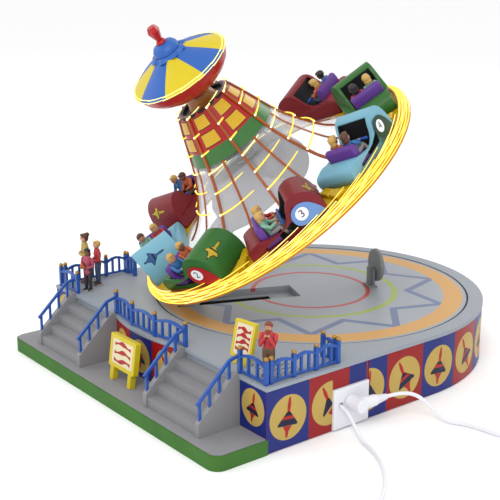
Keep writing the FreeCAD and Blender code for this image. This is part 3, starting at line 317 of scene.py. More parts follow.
# colour, roughness, mottle, grain, bump, soft edge, coat, metal
PLASTICS = {
    "deck_grey": ((158, 166, 177), 0.5, 0.07, 1200, 0.25, 0.0004),
    "step_grey": ((146, 146, 150), 0.55, 0.07, 1200, 0.3, 0.0005),
    "pad_grey": ((148, 148, 152), 0.6, 0.09, 1500, 0.35),
    "grass_edge": ((72, 128, 50), 0.75, 0.28, 700, 0.9),
    "card_red": ((176, 16, 24), 0.38, 0.06, 500, 0.05),
    "card_blue": ((24, 44, 138), 0.38, 0.06, 500, 0.05),
    "card_gold": ((212, 180, 92), 0.4, 0.08, 500, 0.05),
    "ink_navy": ((18, 20, 62), 0.4, 0.05),
    "ink_red": ((200, 28, 34), 0.4, 0.05),
    "ink_black": ((16, 15, 16), 0.45, 0.05),
    "rail_blue": ((38, 98, 196), 0.34, 0.12, 900, 0.2, 0.0003, 0.15),
    "gilt": ((196, 150, 84), 0.32, 0.15, 900, 0.2, 0, 0.1, 0.75),
    "sign_yellow": ((246, 222, 40), 0.42, 0.05, 900, 0.15, 0.0004),
    "sign_cream": ((240, 228, 190), 0.5, 0.05),
    "white_plastic": ((226, 227, 234), 0.34, 0.04, 900, 0.1, 0.0003),
    "dark_inside": ((34, 34, 36), 0.6, 0.1),
    "steel": ((170, 172, 176), 0.28, 0.06, 1500, 0.2, 0, 0, 1.0),
    "trim_grey": ((136, 142, 146), 0.45, 0.06, 1200, 0.2, 0.0004),
    "housing_grey": ((196, 196, 206), 0.42, 0.05, 1200, 0.15, 0.0005),
    # darker grey of the motor cap is painted shade on the boom's upper end
    "motor_cap_shade_grey": ((152, 152, 158), 0.4, 0.05, 1200, 0.15, 0.0005),
    "ring_yellow": ((244, 200, 18), 0.35, 0.10, 500, 0.2, 0, 0.1),
    "band_amber": ((236, 150, 20), 0.3, 0.2, 500, 0.2, 0, 0.2),
    "horn_green": ((62, 124, 56), 0.3, 0.12, 700, 0.1, 0, 0.15),
    "horn_red": ((202, 26, 26), 0.3, 0.10, 700, 0.1, 0, 0.15),
    "horn_yellow": ((246, 196, 36), 0.3, 0.10, 700, 0.1, 0, 0.15),
    "strip_amber": ((190, 92, 20), 0.25, 0.3, 260, 0.3, 0, 0.3),
    "black": ((20, 18, 18), 0.45, 0.1),
    "neck_orange": ((196, 122, 36), 0.3, 0.12, 700, 0.1, 0, 0.15),
    "hat_dark": ((24, 62, 132), 0.35, 0.08),
    "hat_red": ((206, 28, 26), 0.32, 0.08, 700, 0.1, 0, 0.15),
    "hat_blue": ((54, 112, 204), 0.4, 0.08, 900, 0.15),
    "hat_yellow": ((250, 224, 32), 0.4, 0.06, 900, 0.15),
    "bench_purple": ((108, 62, 158), 0.45, 0.10, 900, 0.2),
    "car_red": ((142, 28, 40), 0.42, 0.10, 900, 0.2),
    "car_blue": ((128, 188, 210), 0.42, 0.07, 900, 0.2),
    "car_green": ((56, 118, 50), 0.42, 0.10, 900, 0.2),
    "panel_blue": ((118, 160, 226), 0.4, 0.05),
    "number_white": ((236, 236, 242), 0.4, 0.03),
    "line_orange": ((232, 160, 60), 0.4, 0.05),
    "line_green": ((20, 66, 30), 0.4, 0.05),
    "star_blue": ((44, 96, 160), 0.4, 0.05),
    "emblem_yellow": ((224, 190, 50), 0.4, 0.08),
    "pit_dark": ((30, 30, 34), 0.5, 0.2, 900, 0.2),
}
M = {name: plastic(name, *row) for name, row in PLASTICS.items()}
M["clear"] = clear_plastic("clear_plastic")
M["disc"] = disc_paint("disc_paint")
M["tray"] = tray_paint("tray_paint")
M["lamp"] = glowing("lamp_lit", (255, 214, 90), 1.7)
M["bead"] = glowing("bead_lit", (255, 244, 200), 2.4)
M["trail"] = glowing("light_streak", (255, 212, 84), 1.8)
M["trail_core"] = glowing("light_streak_core", (255, 240, 150), 1.8)


# ---- mesh tools ---------------------------------------------------------------------
class Shape:
    """Collects vertices, faces and a material for each face, then becomes one object."""

    def __init__(self, *materials):
        self.verts, self.faces, self.which = [], [], []
        self.materials = list(materials)

    def add(self, verts, faces, material=None):
        start = len(self.verts)
        self.verts += [Vector(v) for v in verts]
        self.faces += [[i + start for i in f] for f in faces]
        if material is not None and material not in self.materials:
            self.materials.append(material)
        index = self.materials.index(material) if material is not None else 0
        self.which += [index] * len(faces)

    def make(self, name, body, matrix=WORLD, nodes=(), smooth=True, sharp=35):
        mesh = bpy.data.meshes.new(name)
        points = [(matrix @ v) * MM for v in self.verts]
        mesh.from_pydata(points, [], self.faces)
        for m in self.materials:
            mesh.materials.append(M[m])
        mesh.polygons.foreach_set("material_index", self.which)
        mesh.validate()
        mesh.update()
        fix = bmesh.new()
        fix.from_mesh(mesh)
        bmesh.ops.remove_doubles(fix, verts=fix.verts, dist=1e-7)
        bmesh.ops.recalc_face_normals(fix, faces=fix.faces)
        fix.to_mesh(mesh)
        fix.free()
        if smooth:
            mesh.shade_smooth()
            mesh.set_sharp_from_angle(angle=math.radians(sharp))
        obj = bpy.data.objects.new(name, mesh)
        bpy.context.scene.collection.objects.link(obj)
        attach(obj, body)
        if nodes:
            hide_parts(*nodes)
        return obj


def grid_faces(rows, cols, closed):
    """Quads of a rows x cols lattice, joined round when closed."""
    faces = []
    for i in range(rows - 1):
        for j in range(cols if closed else cols - 1):
            k = (j + 1) % cols
            faces.append([i * cols + j, i * cols + k, (i + 1) * cols + k, (i + 1) * cols + j])
    return faces


def ring_of(count):
    """Angles of evenly spaced points round a circle."""
    return [2 * math.pi * j / count for j in range(count)]


def lathe(profile, count=144):
    """Surface of revolution about Z from (radius, height) points."""
    verts = [polar(r, a, z) for r, z in profile for a in ring_of(count)]
    return verts, grid_faces(len(profile), count, True)


def spline(points, steps):
    """Smooth curve through points, as plain tuples."""
    pts = [Vector(p) for p in points]
    out = []
    for i in range(len(pts) - 1):
        a = pts[max(i - 1, 0)]
        b, c = pts[i], pts[i + 1]
        d = pts[min(i + 2, len(pts) - 1)]
        for k in range(steps):
            t = k / steps
            out.append(0.5 * ((2 * b) + (c - a) * t + (2 * a - 5 * b + 4 * c - d) * t * t
                              + (3 * b - a - 3 * c + d) * t ** 3))
    out.append(pts[-1])
    return [tuple(p) for p in out]


def tube(path, radii, count=12, flat=1.0):
    """Round-ended limb along a path, with a radius at each point."""
    pts = [Vector(p) for p in path]
    rings, sizes = [], []
    for end, step in ((0, 1), (len(pts) - 1, -1)):
        direction = (pts[end] - pts[end + step]).normalized()
        cap = [(pts[end] + direction * radii[end] * math.sin(a), radii[end] * math.cos(a))
               for a in (1.45, 1.0, 0.5)]
        if end == 0:
            rings += [c[0] for c in cap] + pts
            sizes += [c[1] for c in cap] + list(radii)
        else:
            rings += [c[0] for c in reversed(cap)]
            sizes += [c[1] for c in reversed(cap)]
    verts = []
    side = None
    for i, p in enumerate(rings):
        ahead = rings[min(i + 1, len(rings) - 1)] - rings[max(i - 1, 0)]
        ahead.normalize()
        if side is None:
            side = ahead.orthogonal().normalized()
            if abs(ahead.x) < 0.9:
                side = (Vector((1, 0, 0)) - ahead * ahead.x).normalized()
        side = (side - ahead * side.dot(ahead)).normalized()
        other = ahead.cross(side)
        for a in ring_of(count):
            verts.append(p + side * math.cos(a) * sizes[i] + other * math.sin(a) * sizes[i] * flat)
    faces = grid_faces(len(rings), count, True)
    faces.append(list(range(count))[::-1])
    faces.append([len(verts) - count + j for j in range(count)])
    return verts, faces


def blob(centre, size, count=16):
    """Ellipsoid."""
    verts = []
    rows = count // 2 + 1
    for i in range(rows):
        a = math.pi * (i + 0.02) / (rows - 1 + 0.04) - math.pi / 2
        for b in ring_of(count):
            unit = (math.cos(a) * math.cos(b), math.cos(a) * math.sin(b), math.sin(a))
            verts.append(Vector([u * s for u, s in zip(unit, size)]) + Vector(centre))
    return verts, grid_faces(rows, count, True)


def sheet(loop, mapping, cuts=3):
    """Flat outline, cut fine and bent onto a surface by mapping(a, b)."""
    bm = bmesh.new()
    bm.faces.new([bm.verts.new((a, b, 0)) for a, b in loop])
    bmesh.ops.triangulate(bm, faces=bm.faces)
    if cuts:
        bmesh.ops.subdivide_edges(bm, edges=bm.edges, cuts=cuts, use_grid_fill=True)
    bmesh.ops.triangulate(bm, faces=bm.faces)
    bm.verts.index_update()
    verts = [mapping(v.co.x, v.co.y) for v in bm.verts]
    faces = [[v.index for v in f.verts] for f in bm.faces]
    bm.free()
    return verts, faces


def oval(cx, cy, rx, ry, count=40):
    return [(cx + rx * math.cos(a), cy + ry * math.sin(a)) for a in ring_of(count)]


def placed(loop, cx, cy, size, angle=0.0):
    """Outline scaled, turned and moved in its plane."""
    c, s = math.cos(math.radians(angle)), math.sin(math.radians(angle))
    return [(cx + (x * c - y * s) * size, cy + (x * s + y * c) * size) for x, y in loop]


def horn_radius(h):
    """Outer radius of the horn at height h."""
    for (r0, h0), (r1, h1) in zip(HORN[:-1], HORN[1:]):
        if h <= h1:
            return r0 + (r1 - r0) * (h - h0) / (h1 - h0)
    return HORN[-1][0]


# ---- base ---------------------------------------------------------------------------
SIDE_RUN = DECK_FRONT
BACK_RUN = math.pi * DECK_R


def wall_point(lift):
    """Point of the side wall at a distance s round it from the front right corner, at height z."""
    def at(s, z):
        r = DECK_R + lift
        if s < SIDE_RUN:
            return r, s - SIDE_RUN, z
        if s < SIDE_RUN + BACK_RUN:
            return polar(r, (s - SIDE_RUN) / DECK_R, z)
        return -r, -(s - SIDE_RUN - BACK_RUN), z
    return at


def front_point(lift):
    """Point of the front wall: straight at the ends, bowed in the middle."""
    def at(x, z):
        if abs(x) > BOW_HALF:
            return x, -DECK_FRONT - lift, z
        return x, BOW_CENTRE_Y - math.sqrt((BOW_R + lift) ** 2 - x * x), z
    return at


# outlines of the spinning top, for an oval of half-width 1
TOP_HANDLE = [
    (-0.07, 0.18), (0.07, 0.18), (0.10, 0.55), (0.06, 0.85), (0.0, 0.95), (-0.06, 0.85), (-0.10, 0.55),
]
TOP_BODY = [(-0.10, 0.24), (0.10, 0.24), (0.56, -0.30), (0.52, -0.38), (-0.52, -0.38), (-0.56, -0.30)]
TOP_STRIPE = [(-0.25, 0.06), (0.25, 0.06), (0.37, -0.09), (-0.37, -0.09)]
TOP_FOOT = [(-0.26, -0.39), (0.26, -0.39), (0.10, -0.62), (0.05, -0.92), (-0.05, -0.92), (-0.10, -0.62)]
TOP_INKS = [(TOP_HANDLE, "ink_red"), (TOP_BODY, "ink_navy"), (TOP_FOOT, "ink_red")]
BLUE_TILT = -6                      # lean of the top on a blue and on a red panel
RED_TILT = 26
INLET_PANEL = 1                     # numbers of the panels that the inlet and the seam cut into
SEAM_PANEL = 2
OVAL_RX = 14.1
OVAL_RY = 14.2
OVAL_MIDDLE = (BAND_LOW + BAND_HIGH) / 2 - 0.5
INLET_EDGE = 51.2                   # where the inlet panel and the card's seam cut in, round the wall
SEAM_START = 79.2
SEAM_END = 81.4
INLET_TOP = 27.6
FRONT_LOW = 10.2
CUT_TOP_SIZE = 13.8


def blue_panel(shape, surface, left, right, low, cuts):
    """Blue panel that reaches up to the card's edge."""
    loop = [(left, low), (right, low), (right, BAND_HIGH), (left, BAND_HIGH)]
    shape.add(*sheet(loop, surface(0.02), cuts), "card_blue")


def card_motif(shape, surface, cx, cy, rx, ry, tilt):
    """Gold oval with a simple spinning top in it."""
    shape.add(*sheet(oval(cx, cy, rx, ry), surface(0.05), 4), "card_gold")
    size = min(rx, ry) * 0.98
    for loop, ink in TOP_INKS:
        shape.add(*sheet(placed(loop, cx, cy, size, tilt), surface(0.08)), ink)
    shape.add(*sheet(placed(TOP_STRIPE, cx, cy, size, tilt), surface(0.11)), "ink_red")


def printed_walls():
    """Blue panels and gold ovals on the red card, round the sides, the back and the front."""
    shape = Shape("card_blue")
    total = 2 * SIDE_RUN + BACK_RUN
    for k in range(int(total // PANEL_W) + 1):
        left, right = k * PANEL_W, min((k + 1) * PANEL_W, total)
        blue = k % 2 == 0
        if blue:
            blue_panel(shape, wall_point, SEAM_END if k == SEAM_PANEL else left, right, BAND_LOW, 8)
        if k == SEAM_PANEL:
            blue_panel(shape, wall_point, left, SEAM_START, INLET_TOP, 4)
        if right - left > 20 and k not in (INLET_PANEL, SEAM_PANEL):
            tilt = BLUE_TILT if blue else RED_TILT
            card_motif(shape, wall_point, (left + right) / 2, OVAL_MIDDLE, OVAL_RX, OVAL_RY, tilt)
    for side in (1, -1):
        blue_panel(shape, front_point, side * 99.6, side * 124.4, FRONT_LOW, 2)
        card_motif(shape, front_point, side * 111.9, 25.9, 10.6, 11.6, -8 * side)
        card_motif(shape, front_point, side * 26.0, 24.8, 9.6, 11.4, 24)
    blue_panel(shape, front_point, -13.1, 13.1, FRONT_LOW, 4)
    card_motif(shape, front_point, 0, 24.8, 10.6, 11.4, BLUE_TILT)
    shape.make("printed_walls", "base", smooth=False)


def cut_ovals():
    """The two ovals that the inlet panel and the seam cut into."""
    shape = Shape("card_gold")
    for panel, tilt, left, right in (
        (INLET_PANEL, RED_TILT, 0, INLET_EDGE), (SEAM_PANEL, BLUE_TILT, SEAM_END, 200),
    ):
        centre = (panel + 0.5) * PANEL_W

        def cut(loop):
            return [(min(max(s, left), right), z) for s, z in loop]

        loop = cut(oval(centre, OVAL_MIDDLE, OVAL_RX, OVAL_RY, 60))
        shape.add(*sheet(loop, wall_point(0.05), 3), "card_gold")
        for outline, ink in TOP_INKS:
            part = cut(placed(outline, centre, OVAL_MIDDLE, CUT_TOP_SIZE, tilt))
            shape.add(*sheet(part, wall_point(0.08)), ink)
    shape.make("cut_ovals", "base", smooth=False)


SLOT_CORNER = (92, -127)
SLOT_PITCH = (3.4, 3.6)


def speaker_slot_shade():
    """Black ovals on the deck near the right-hand corner, painted shade in place of the insides of speaker
    slots.
    """
    shape = Shape("ink_black")
    for i in range(8):
        for j in range(6):
            x = SLOT_CORNER[0] + (i + (j % 2) / 2) * SLOT_PITCH[0]
            y = SLOT_CORNER[1] + j * SLOT_PITCH[1]
            shape.add(*sheet(oval(x, y, 0.6, 1.15, 12), lambda a, b: (a, b, DECK_TOP + 0.08), 0))
    shape.make("speaker_slot_shade", "base", smooth=False)


FINISHES = {
    "deck_grey": ["base_shell"], "step_grey": ["stairs"], "pad_grey": ["pad_slab"],
    "grass_edge": ["pad_edging"], "card_red": ["print_band"],
    "rail_blue": ["deck_railings", "stair_handrails", "car_bars"], "gilt": ["rail_finials"],
    "sign_yellow": ["sign_boards"], "sign_cream": ["sign_faces"],
    "white_plastic": ["inlet_panel", "supply_plug", "adaptor", "lead_connector"],
    "dark_inside": ["bottom_cover", "turntable_motor", "tilt_motor", "wheel_motor"],
    "steel": ["cover_screws", "turntable_spindle", "wheel_shaft", "hinge_pin"],
    "disc": ["turntable_disc"], "tray": ["turntable_pan"], "trim_grey": ["rest_post", "rest_disc"],
    # motor cap: painted shade, darker than the housing grey
    "housing_grey": ["boom_frame"], "motor_cap_shade_grey": ["motor_cap"], "black": ["bulkhead", "horn_mouth"],
    "neck_orange": ["hat_neck"], "hat_dark": ["hat_dish"], "hat_red": ["hat_bowl", "hat_finial"],
    "hat_blue": ["hat_knob"], "lamp": ["band_lamp_rows"], "bead": ["hat_lamps"],
    "strip_amber": ["horn_lamp_strips"],
}


def base_looks():
    """Materials of the CAD pieces that stay as they are."""
    for finish, names in FINISHES.items():
        for name in names:
            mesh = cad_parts[name].data
            mesh.materials.clear()
            mesh.materials.append(M[finish])


# foot, heading, lean back, width, height, leg, thickness, rows
SIGNS = [
    ((1.0, -164.0, 9.85), 0, -8, 30.0, 22.0, 9.0, 4.0, 3),
    ((86.0, -132.0, 41.85), 8, -14, 17.0, 23.0, 4.0, 2.6, 4),
]


def wavy_bar(z, half, row):
    """Outline of one wavy bar of that half-width."""
    top, low = [], []
    for i in range(25):
        x = -half + 2 * half * i / 24
        swell = 1.1 + 0.5 * math.cos(5 * x / half)
        mid = z + 0.8 * math.sin(3.1 * x / half + row)
        top.append((x, mid + swell))
        low.append((x, mid - swell))
    return top + low[::-1]


def sign_art():
    """Plain wavy bars in place of the signs' wording."""
    shape = Shape("ink_red")
    for at, heading, back, width, height, leg, thick, rows in SIGNS:
        matrix = Matrix.Translation(at) @ turned(heading) @ turned(back, "X")
        face = -thick / 2 + 0.16
        for k in range(rows):
            z = leg + height * (0.25 + 0.5 * k / (rows - 1))
            bar = wavy_bar(z, width * 0.32, k)
            shape.add(*sheet(bar, lambda a, b: matrix @ Vector((a, face, b)), 0))
    shape.make("sign_art", "base", smooth=False)


# ---- people -------------------------------------------------------------------------
STAND = {
    "hip": (1.8, 0, 17.5), "knee": (2.0, 0.4, 9.4), "ankle": (2.0, -0.2, 2.2), "toe": (2.3, 3.0, 1.5),
    "shoulder": (4.3, 0, 26.6), "elbow": (5.4, 0.4, 21.0), "hand": (2.6, 4.2, 19.6), "head": (0, 0.6, 32.2),
    "waist": (0, 0, 19.4), "chest": (0, 0.3, 25.0),
}
SIT = {
    "hip": (1.7, 0, 1.6), "knee": (2.2, 6.8, 2.6), "ankle": (2.2, 8.6, -2.4), "toe": (2.2, 10.6, -2.8),
    "shoulder": (3.4, -0.6, 9.2), "elbow": (3.9, 2.6, 6.0), "hand": (2.2, 6.0, 6.2), "head": (0, 0.2, 13.6),
    "waist": (0, -0.3, 2.8), "chest": (0, -0.6, 7.6),
}


# each lump of a head or of its hair: place from the head's middle, then half-sizes
HEAD_LUMPS = [((0, 0, 0), (2.35, 2.55, 2.95)), ((0, 0.7, -1.25), (1.6, 1.7, 1.5))]
NOSE = ((0, 2.5, -0.3), (0.42, 0.55, 0.6))
EYE = ((0.95, 2.25, 0.35), (0.3, 0.22, 0.26))
EAR = ((2.35, 0.0, -0.2), (0.35, 0.6, 0.8))
HAIR_CAP = [((0, -0.55, 0.75), (2.75, 2.75, 2.65)), ((0, 1.4, 2.05), (2.0, 1.3, 0.95))]
HAIR_STYLES = {
    "short": [],
    "long": [((0, -1.5, -1.6), (2.5, 1.6, 3.2))],
    "bun": [((0, -2.2, 2.4), (1.6, 1.7, 1.5)), ((0, -1.5, -0.6), (2.4, 1.6, 2.0))],
    "beard": [((0, 1.5, -2.1), (1.6, 1.3, 1.4))],
}
LEG_RADII = [2.1, 2.0, 1.55, 1.6, 1.2]
ARM_RADII = [1.6, 1.45, 1.25, 1.15]
TRUNK_RADII = [3.3, 3.2, 3.0, 3.5, 3.9, 3.3]
STAND_HEIGHT = 35.6


def limbs(shape, pose, g, colours):
    """Legs, shoes, arms and hands."""
    skin_tone, _, top, legs, shoes = colours
    for side in (1, -1):
        spots = {key: Vector((x * side, y, z)) for key, (x, y, z) in pose.items()}
        hip, knee, ankle, toe = [spots[key] for key in ("hip", "knee", "ankle", "toe")]
        path = [hip, hip.lerp(knee, 0.5), knee, knee.lerp(ankle, 0.45), ankle]
        shape.add(*tube(path, [r * g for r in LEG_RADII]), legs)
        path = [ankle + Vector((0, -0.6, -0.8)), ankle.lerp(toe, 0.6), toe]
        shape.add(*tube(path, [1.25, 1.2, 1.0], 10, 0.85), shoes)
        shoulder, elbow, hand = [spots[key] for key in ("shoulder", "elbow", "hand")]
        path = [shoulder, shoulder.lerp(elbow, 0.5), elbow, elbow.lerp(hand, 0.8)]
        shape.add(*tube(path, [r * g for r in ARM_RADII]), top)
        shape.add(*blob(hand, (0.95, 1.15, 0.85)), skin_tone)


def face_and_hair(shape, head, hair, colours):
    """Head with nose, eyes and ears, and the hair on it."""
    skin_tone, hair_tone = colours[:2]
    for offset, size in HEAD_LUMPS:
        shape.add(*blob(head + Vector(offset), size), skin_tone)
    shape.add(*blob(head + Vector(NOSE[0]), NOSE[1], 10), skin_tone)
    for side in (1, -1):
        for (offset, size), ink in ((EYE, "ink_black"), (EAR, skin_tone)):
            mirrored = Vector((offset[0] * side, offset[1], offset[2]))
            shape.add(*blob(head + mirrored, size, 8), ink)
    for offset, size in HAIR_CAP + HAIR_STYLES[hair]:
        shape.add(*blob(head + Vector(offset), size), hair_tone)


def person(name, pose, colours, matrix, body, nodes=(), girth=1.0, hair="short", skirt=0.0):
    """Small painted person: colours are skin, hair, top, legs, shoes."""
    skin_tone, _, top, legs, _ = colours
    shape = Shape(*colours)
    seated = pose["hip"][2] < 5
    g = girth * (0.86 if seated else 1.0)
    limbs(shape, pose, g, colours)
    waist, chest, head = [Vector(pose[key]) for key in ("waist", "chest", "head")]
    low = waist.lerp(chest, -0.35)
    high = waist.lerp(chest, 1.35)
    trunk = [low.lerp(high, k / 5) for k in range(6)]
    shape.add(*tube(trunk, [r * g for r in TRUNK_RADII], 18, 0.72), top)
    hem = [low + Vector((0, 0, -0.9 - skirt)), low + Vector((0, 0, 0.4))]
    shape.add(*tube(hem, [3.25 * g * (1.0 + skirt), 3.3 * g], 18, 0.78), top if skirt else legs)
    shape.add(*tube([high, high.lerp(head, 0.35)], [1.3, 1.15]), skin_tone)
    face_and_hair(shape, head, hair, colours)
    collar = high + Vector((0, 0.1, 0.15))
    shape.add(*tube([collar, collar + Vector((0, 0, 0.8))], [1.9, 1.7], 14), top)
    shape.make(name, body, matrix, nodes, sharp=60)


FIGURE_COLOURS = {
    "skin_a": (214, 160, 128), "skin_b": (226, 178, 146), "skin_c": (150, 96, 66),
    "hair_dark": (34, 26, 26), "hair_brown": (96, 56, 34), "hair_blond": (222, 178, 96),
    "hair_red": (150, 66, 40),
    "top_blue": (52, 118, 184), "top_red": (206, 44, 42), "top_teal": (86, 176, 190),
    "top_mint": (132, 186, 160), "top_orange": (226, 110, 60), "top_violet": (112, 74, 150),
    "leg_denim": (64, 86, 124), "leg_brown": (116, 84, 56), "leg_grey": (140, 138, 140),
    "leg_dark": (52, 44, 58),
    "shoe_black": (38, 34, 36), "shoe_brown": (98, 64, 42),
    "coat_yellow": (206, 178, 84), "coat_pink": (196, 82, 108), "vest_red": (214, 54, 58),
    "stone_grey": (150, 150, 156), "fruit_orange": (214, 110, 52),
}
for colour_name, figure_colour in FIGURE_COLOURS.items():
    M[colour_name] = painted(colour_name, figure_colour)


def choices(kind):
    """Names of the figure colours of one kind."""
    return [name for name in FIGURE_COLOURS if name.startswith(kind)]


SKINS = choices("skin")
HAIRS = choices("hair")
TOPS = choices("top")
LEGS = choices("leg")
SHOES = choices("shoe")

# place, radius of the foot, height, heading, colours, changes to the pose, and the rest
STANDING = {
    "woman": ((-116.0, -122.0), 4.4, 38.4, 150,
              ["skin_b", "hair_brown", "coat_yellow", "leg_denim", "shoe_brown"],
              {"hand": (2.0, 3.8, 21.5), "elbow": (5.6, 0.2, 20.8)},
              {"nodes": ["figures_left"], "hair": "bun", "skirt": 0.25}),
    "girl": ((-97.0, -131.0), 4.6, 32.6, 205,
             ["skin_c", "hair_dark", "coat_pink", "leg_dark", "shoe_black"],
             {"hand": (1.9, 4.4, 20.4)}, {"hair": "long", "skirt": 0.2}),
    "boy": ((-105.0, -118.0), 4.3, 34.4, 165,
            ["skin_b", "hair_blond", "vest_red", "leg_denim", "shoe_brown"],
            {"hand": (1.6, 4.3, 20.0)}, {}),
    "man": ((110.6, -129.8), 4.4, 33.8, 215,
            ["skin_a", "hair_red", "vest_red", "leg_brown", "shoe_brown"],
            {"hand": (0.9, 3.9, 27.4), "elbow": (4.6, 3.4, 21.2)},
            {"nodes": ["figure_man"], "girth": 1.12, "hair": "beard"}),
}
BALLS = [(0, 0, 0), (1.7, 0.6, 0.2), (-1.5, 0.8, 0.3), (0.2, 0.4, 1.7)]
BALLS_AT = (-98.6, -135.2, DECK_TOP + 18.4)


def crowd():
    """The four standing figures with their small round feet, and the balls that one holds."""
    for name, (at, _, height, heading, colours, pose, more) in STANDING.items():
        size = Matrix.Scale(height / STAND_HEIGHT, 4)
        matrix = Matrix.Translation((*at, DECK_TOP)) @ turned(heading) @ size
        person(name, STAND | pose, colours, matrix, "base", **more)
    feet = Shape("stone_grey")
    for (x, y), r, *_ in STANDING.values():
        steps = [(0.01, 0), (r, 0), (r - 0.2, 0.7), (r - 0.9, 1.2), (0.01, 1.2)]
        verts, faces = lathe([(radius, DECK_TOP + lift) for radius, lift in steps], 28)
        feet.add([(vx + x, vy + y, vz) for vx, vy, vz in verts], faces)
    feet.make("figure_feet", "base")
    fruit = Shape("fruit_orange")
    for offset in BALLS:
        fruit.add(*blob(Vector(BALLS_AT) + Vector(offset), (1.35, 1.35, 1.3)))
    fruit.make("held_balls", "base")


# ---- wheel --------------------------------------------------------------------------
def horn_surface(lift):
    """Point of the horn's skin from an angle in degrees and a height."""
    def at(angle, h):
        return polar(horn_radius(h) + lift, math.radians(angle), h + lift * 0.35)
    return at


def skin(name, low, high, finish, node, thick=1.5):
    """One length of the horn as a thin closed shell."""
    heights = [low + (high - low) * k / 24 for k in range(25)]
    outer = [(horn_radius(h), h) for h in heights]
    inner = [(horn_radius(h) - thick, h) for h in heights]
    profile = outer + inner[::-1] + outer[:1]
    shape = Shape(finish)
    shape.add(*lathe(profile, 192))
    shape.make(name, "wheel", WHEEL, [node])


CHECKS = [(57.4, 65.4, 12.6), (69.0, 76.6, 12.0)]      # lower and upper edge, half-width in degrees


def horn():
    """Clear bell, green collar, red top with its yellow checks, and a painted shadow in scallops round the
    mouth.
    """
    skin("bell_clear", 0.0, GREEN_LOW, "clear", "horn_clear")
    skin("collar_green", GREEN_LOW, GREEN_HIGH, "horn_green", "horn_green")
    skin("checks_red", GREEN_HIGH, HORN_TOP, "horn_red", "horn_checks")
    shape = Shape("horn_yellow")
    step = 360 / STRIP_COUNT
    for i in range(STRIP_COUNT):
        centre = STRIP_PHASE + step * (i + 0.5)
        for low, high, half in CHECKS:
            for grow, lift, ink in ((0.5, 0.05, "ink_black"), (0.0, 0.10, "horn_yellow")):
                wide = half + grow * 1.3
                loop = [(centre - wide, low - grow), (centre + wide, low - grow),
                        (centre + wide * 0.97, high + grow), (centre - wide * 0.97, high + grow)]
                shape.add(*sheet(loop, horn_surface(lift), 6), ink)
    shape.make("check_squares", "wheel", WHEEL)
    # painted shadow: black scallops hung just below the mouth, where the hat shades the horn
    mouth_shadow = Shape("black")
    for i in range(STRIP_COUNT * 2):
        centre = STRIP_PHASE + step * (i + 0.5) / 2
        loop = [(centre - 10, HORN_TOP), (centre + 10, HORN_TOP)]
        for a in (0.4, 0.9, 1.57, 2.24, 2.74):
            loop.append((centre + 10 * math.cos(a), HORN_TOP - 2.2 * math.sin(a)))
        mouth_shadow.add(*sheet(loop, horn_surface(0.06), 3))
    mouth_shadow.make("mouth_shadow_scallops", "wheel", WHEEL)


FLOOR_IN = 73.4
FLOOR_THICK = 1.8
FASCIA_TOP = 2.2                    # the lamp fascia: a rim, then a slope down in steps
FASCIA_RIM = 0.9
FASCIA_RUN = 5.1
FASCIA_FALL = 6.3
LAMP_ROWS = 5
PAD_HALF = 2.2                      # degrees


def ring():
    """Yellow floor with its raised pads and the stepped lamp fascia."""
    floor = Shape("ring_yellow")
    under = -FLOOR_THICK
    section = [(FLOOR_IN, 0), (RING_LIP, 0), (RING_LIP, under), (FLOOR_IN, under), (FLOOR_IN, 0)]
    floor.add(*lathe(section, 192))
    for i in range(CAR_COUNT):
        centre = CAR_PHASE + 360 / CAR_COUNT * (i + 0.5)
        for r0, r1, top in ((80, 91, 3.0), (93, 104, 3.6)):
            verts = []
            for z, inset in ((0, 0), (top - 0.8, 0), (top, 0.8)):
                near, far = r0 + inset, r1 - inset
                for r, a in ((near, -PAD_HALF), (far, -PAD_HALF), (far, PAD_HALF), (near, PAD_HALF)):
                    verts.append(polar(r, math.radians(centre + a * (1 - inset * 0.25)), z))
            floor.add(verts, grid_faces(3, 4, True) + [[8, 9, 10, 11]])
    floor.make("floor_yellow", "wheel", WHEEL, ["ring_floor"])
    fascia = Shape("band_amber")
    profile = [(RING_LIP, FASCIA_TOP), (RING_LIP + FASCIA_RIM, FASCIA_TOP)]
    for k in range(LAMP_ROWS):
        t0, t1 = k / LAMP_ROWS, (k + 1) / LAMP_ROWS
        for t, dip in ((t0 + 0.03, 0.25), (t1 - 0.03, 0.25), (t1, 0.0)):
            r = RING_LIP + FASCIA_RIM + FASCIA_RUN * t
            z = FASCIA_TOP - FASCIA_FALL * t
            profile.append((r - dip, z - dip))
    profile += [(RING_OUT, -5), (RING_OUT - 1.6, -5), (RING_LIP, -FLOOR_THICK), (RING_LIP, FASCIA_TOP)]
    fascia.add(*lathe(profile, 240))
    fascia.make("fascia_amber", "wheel", WHEEL, ["led_band"])


WHEEL_SWEEP = 41.7                  # degrees turned while the photograph was taken
TABLE_SWEEP = -6.5
TRAIL_STEPS = 14


def spin_trail(start, share):
    """Path of a lamp while the wheel turns one way and the turntable the other, in world millimetres."""
    axis = (WHEEL.to_3x3() @ Vector((0, 0, 1))).normalized()
    hub = WHEEL.translation
    path = []
    for k in range(TRAIL_STEPS + 1):
        t = share * k / TRAIL_STEPS
        spin = Matrix.Rotation(math.radians(WHEEL_SWEEP * t), 3, axis)
        ride = Matrix.Rotation(math.radians(TABLE_SWEEP * t), 3, "Z")
        path.append(ride @ (hub + spin @ (start - hub)))
    return path


def streaks(name, starts, radius, share=1.0):
    """Thin light streaks from each lamp."""
    shape = Shape("trail")
    for i, start in enumerate(starts):
        path = spin_trail(start, share)
        sizes = [radius * (1 - 0.45 * k / TRAIL_STEPS) for k in range(len(path))]
        shape.add(*tube(path, sizes, 8), "trail" if i % 3 else "trail_core")
    shape.make(name, "wheel", WORLD)


BEAD_R = 0.75
BEAD_TOP = 78.4
BEAD_PITCH = 12.2
HAT_STREAKS = 16
BAND_STREAKS = 18


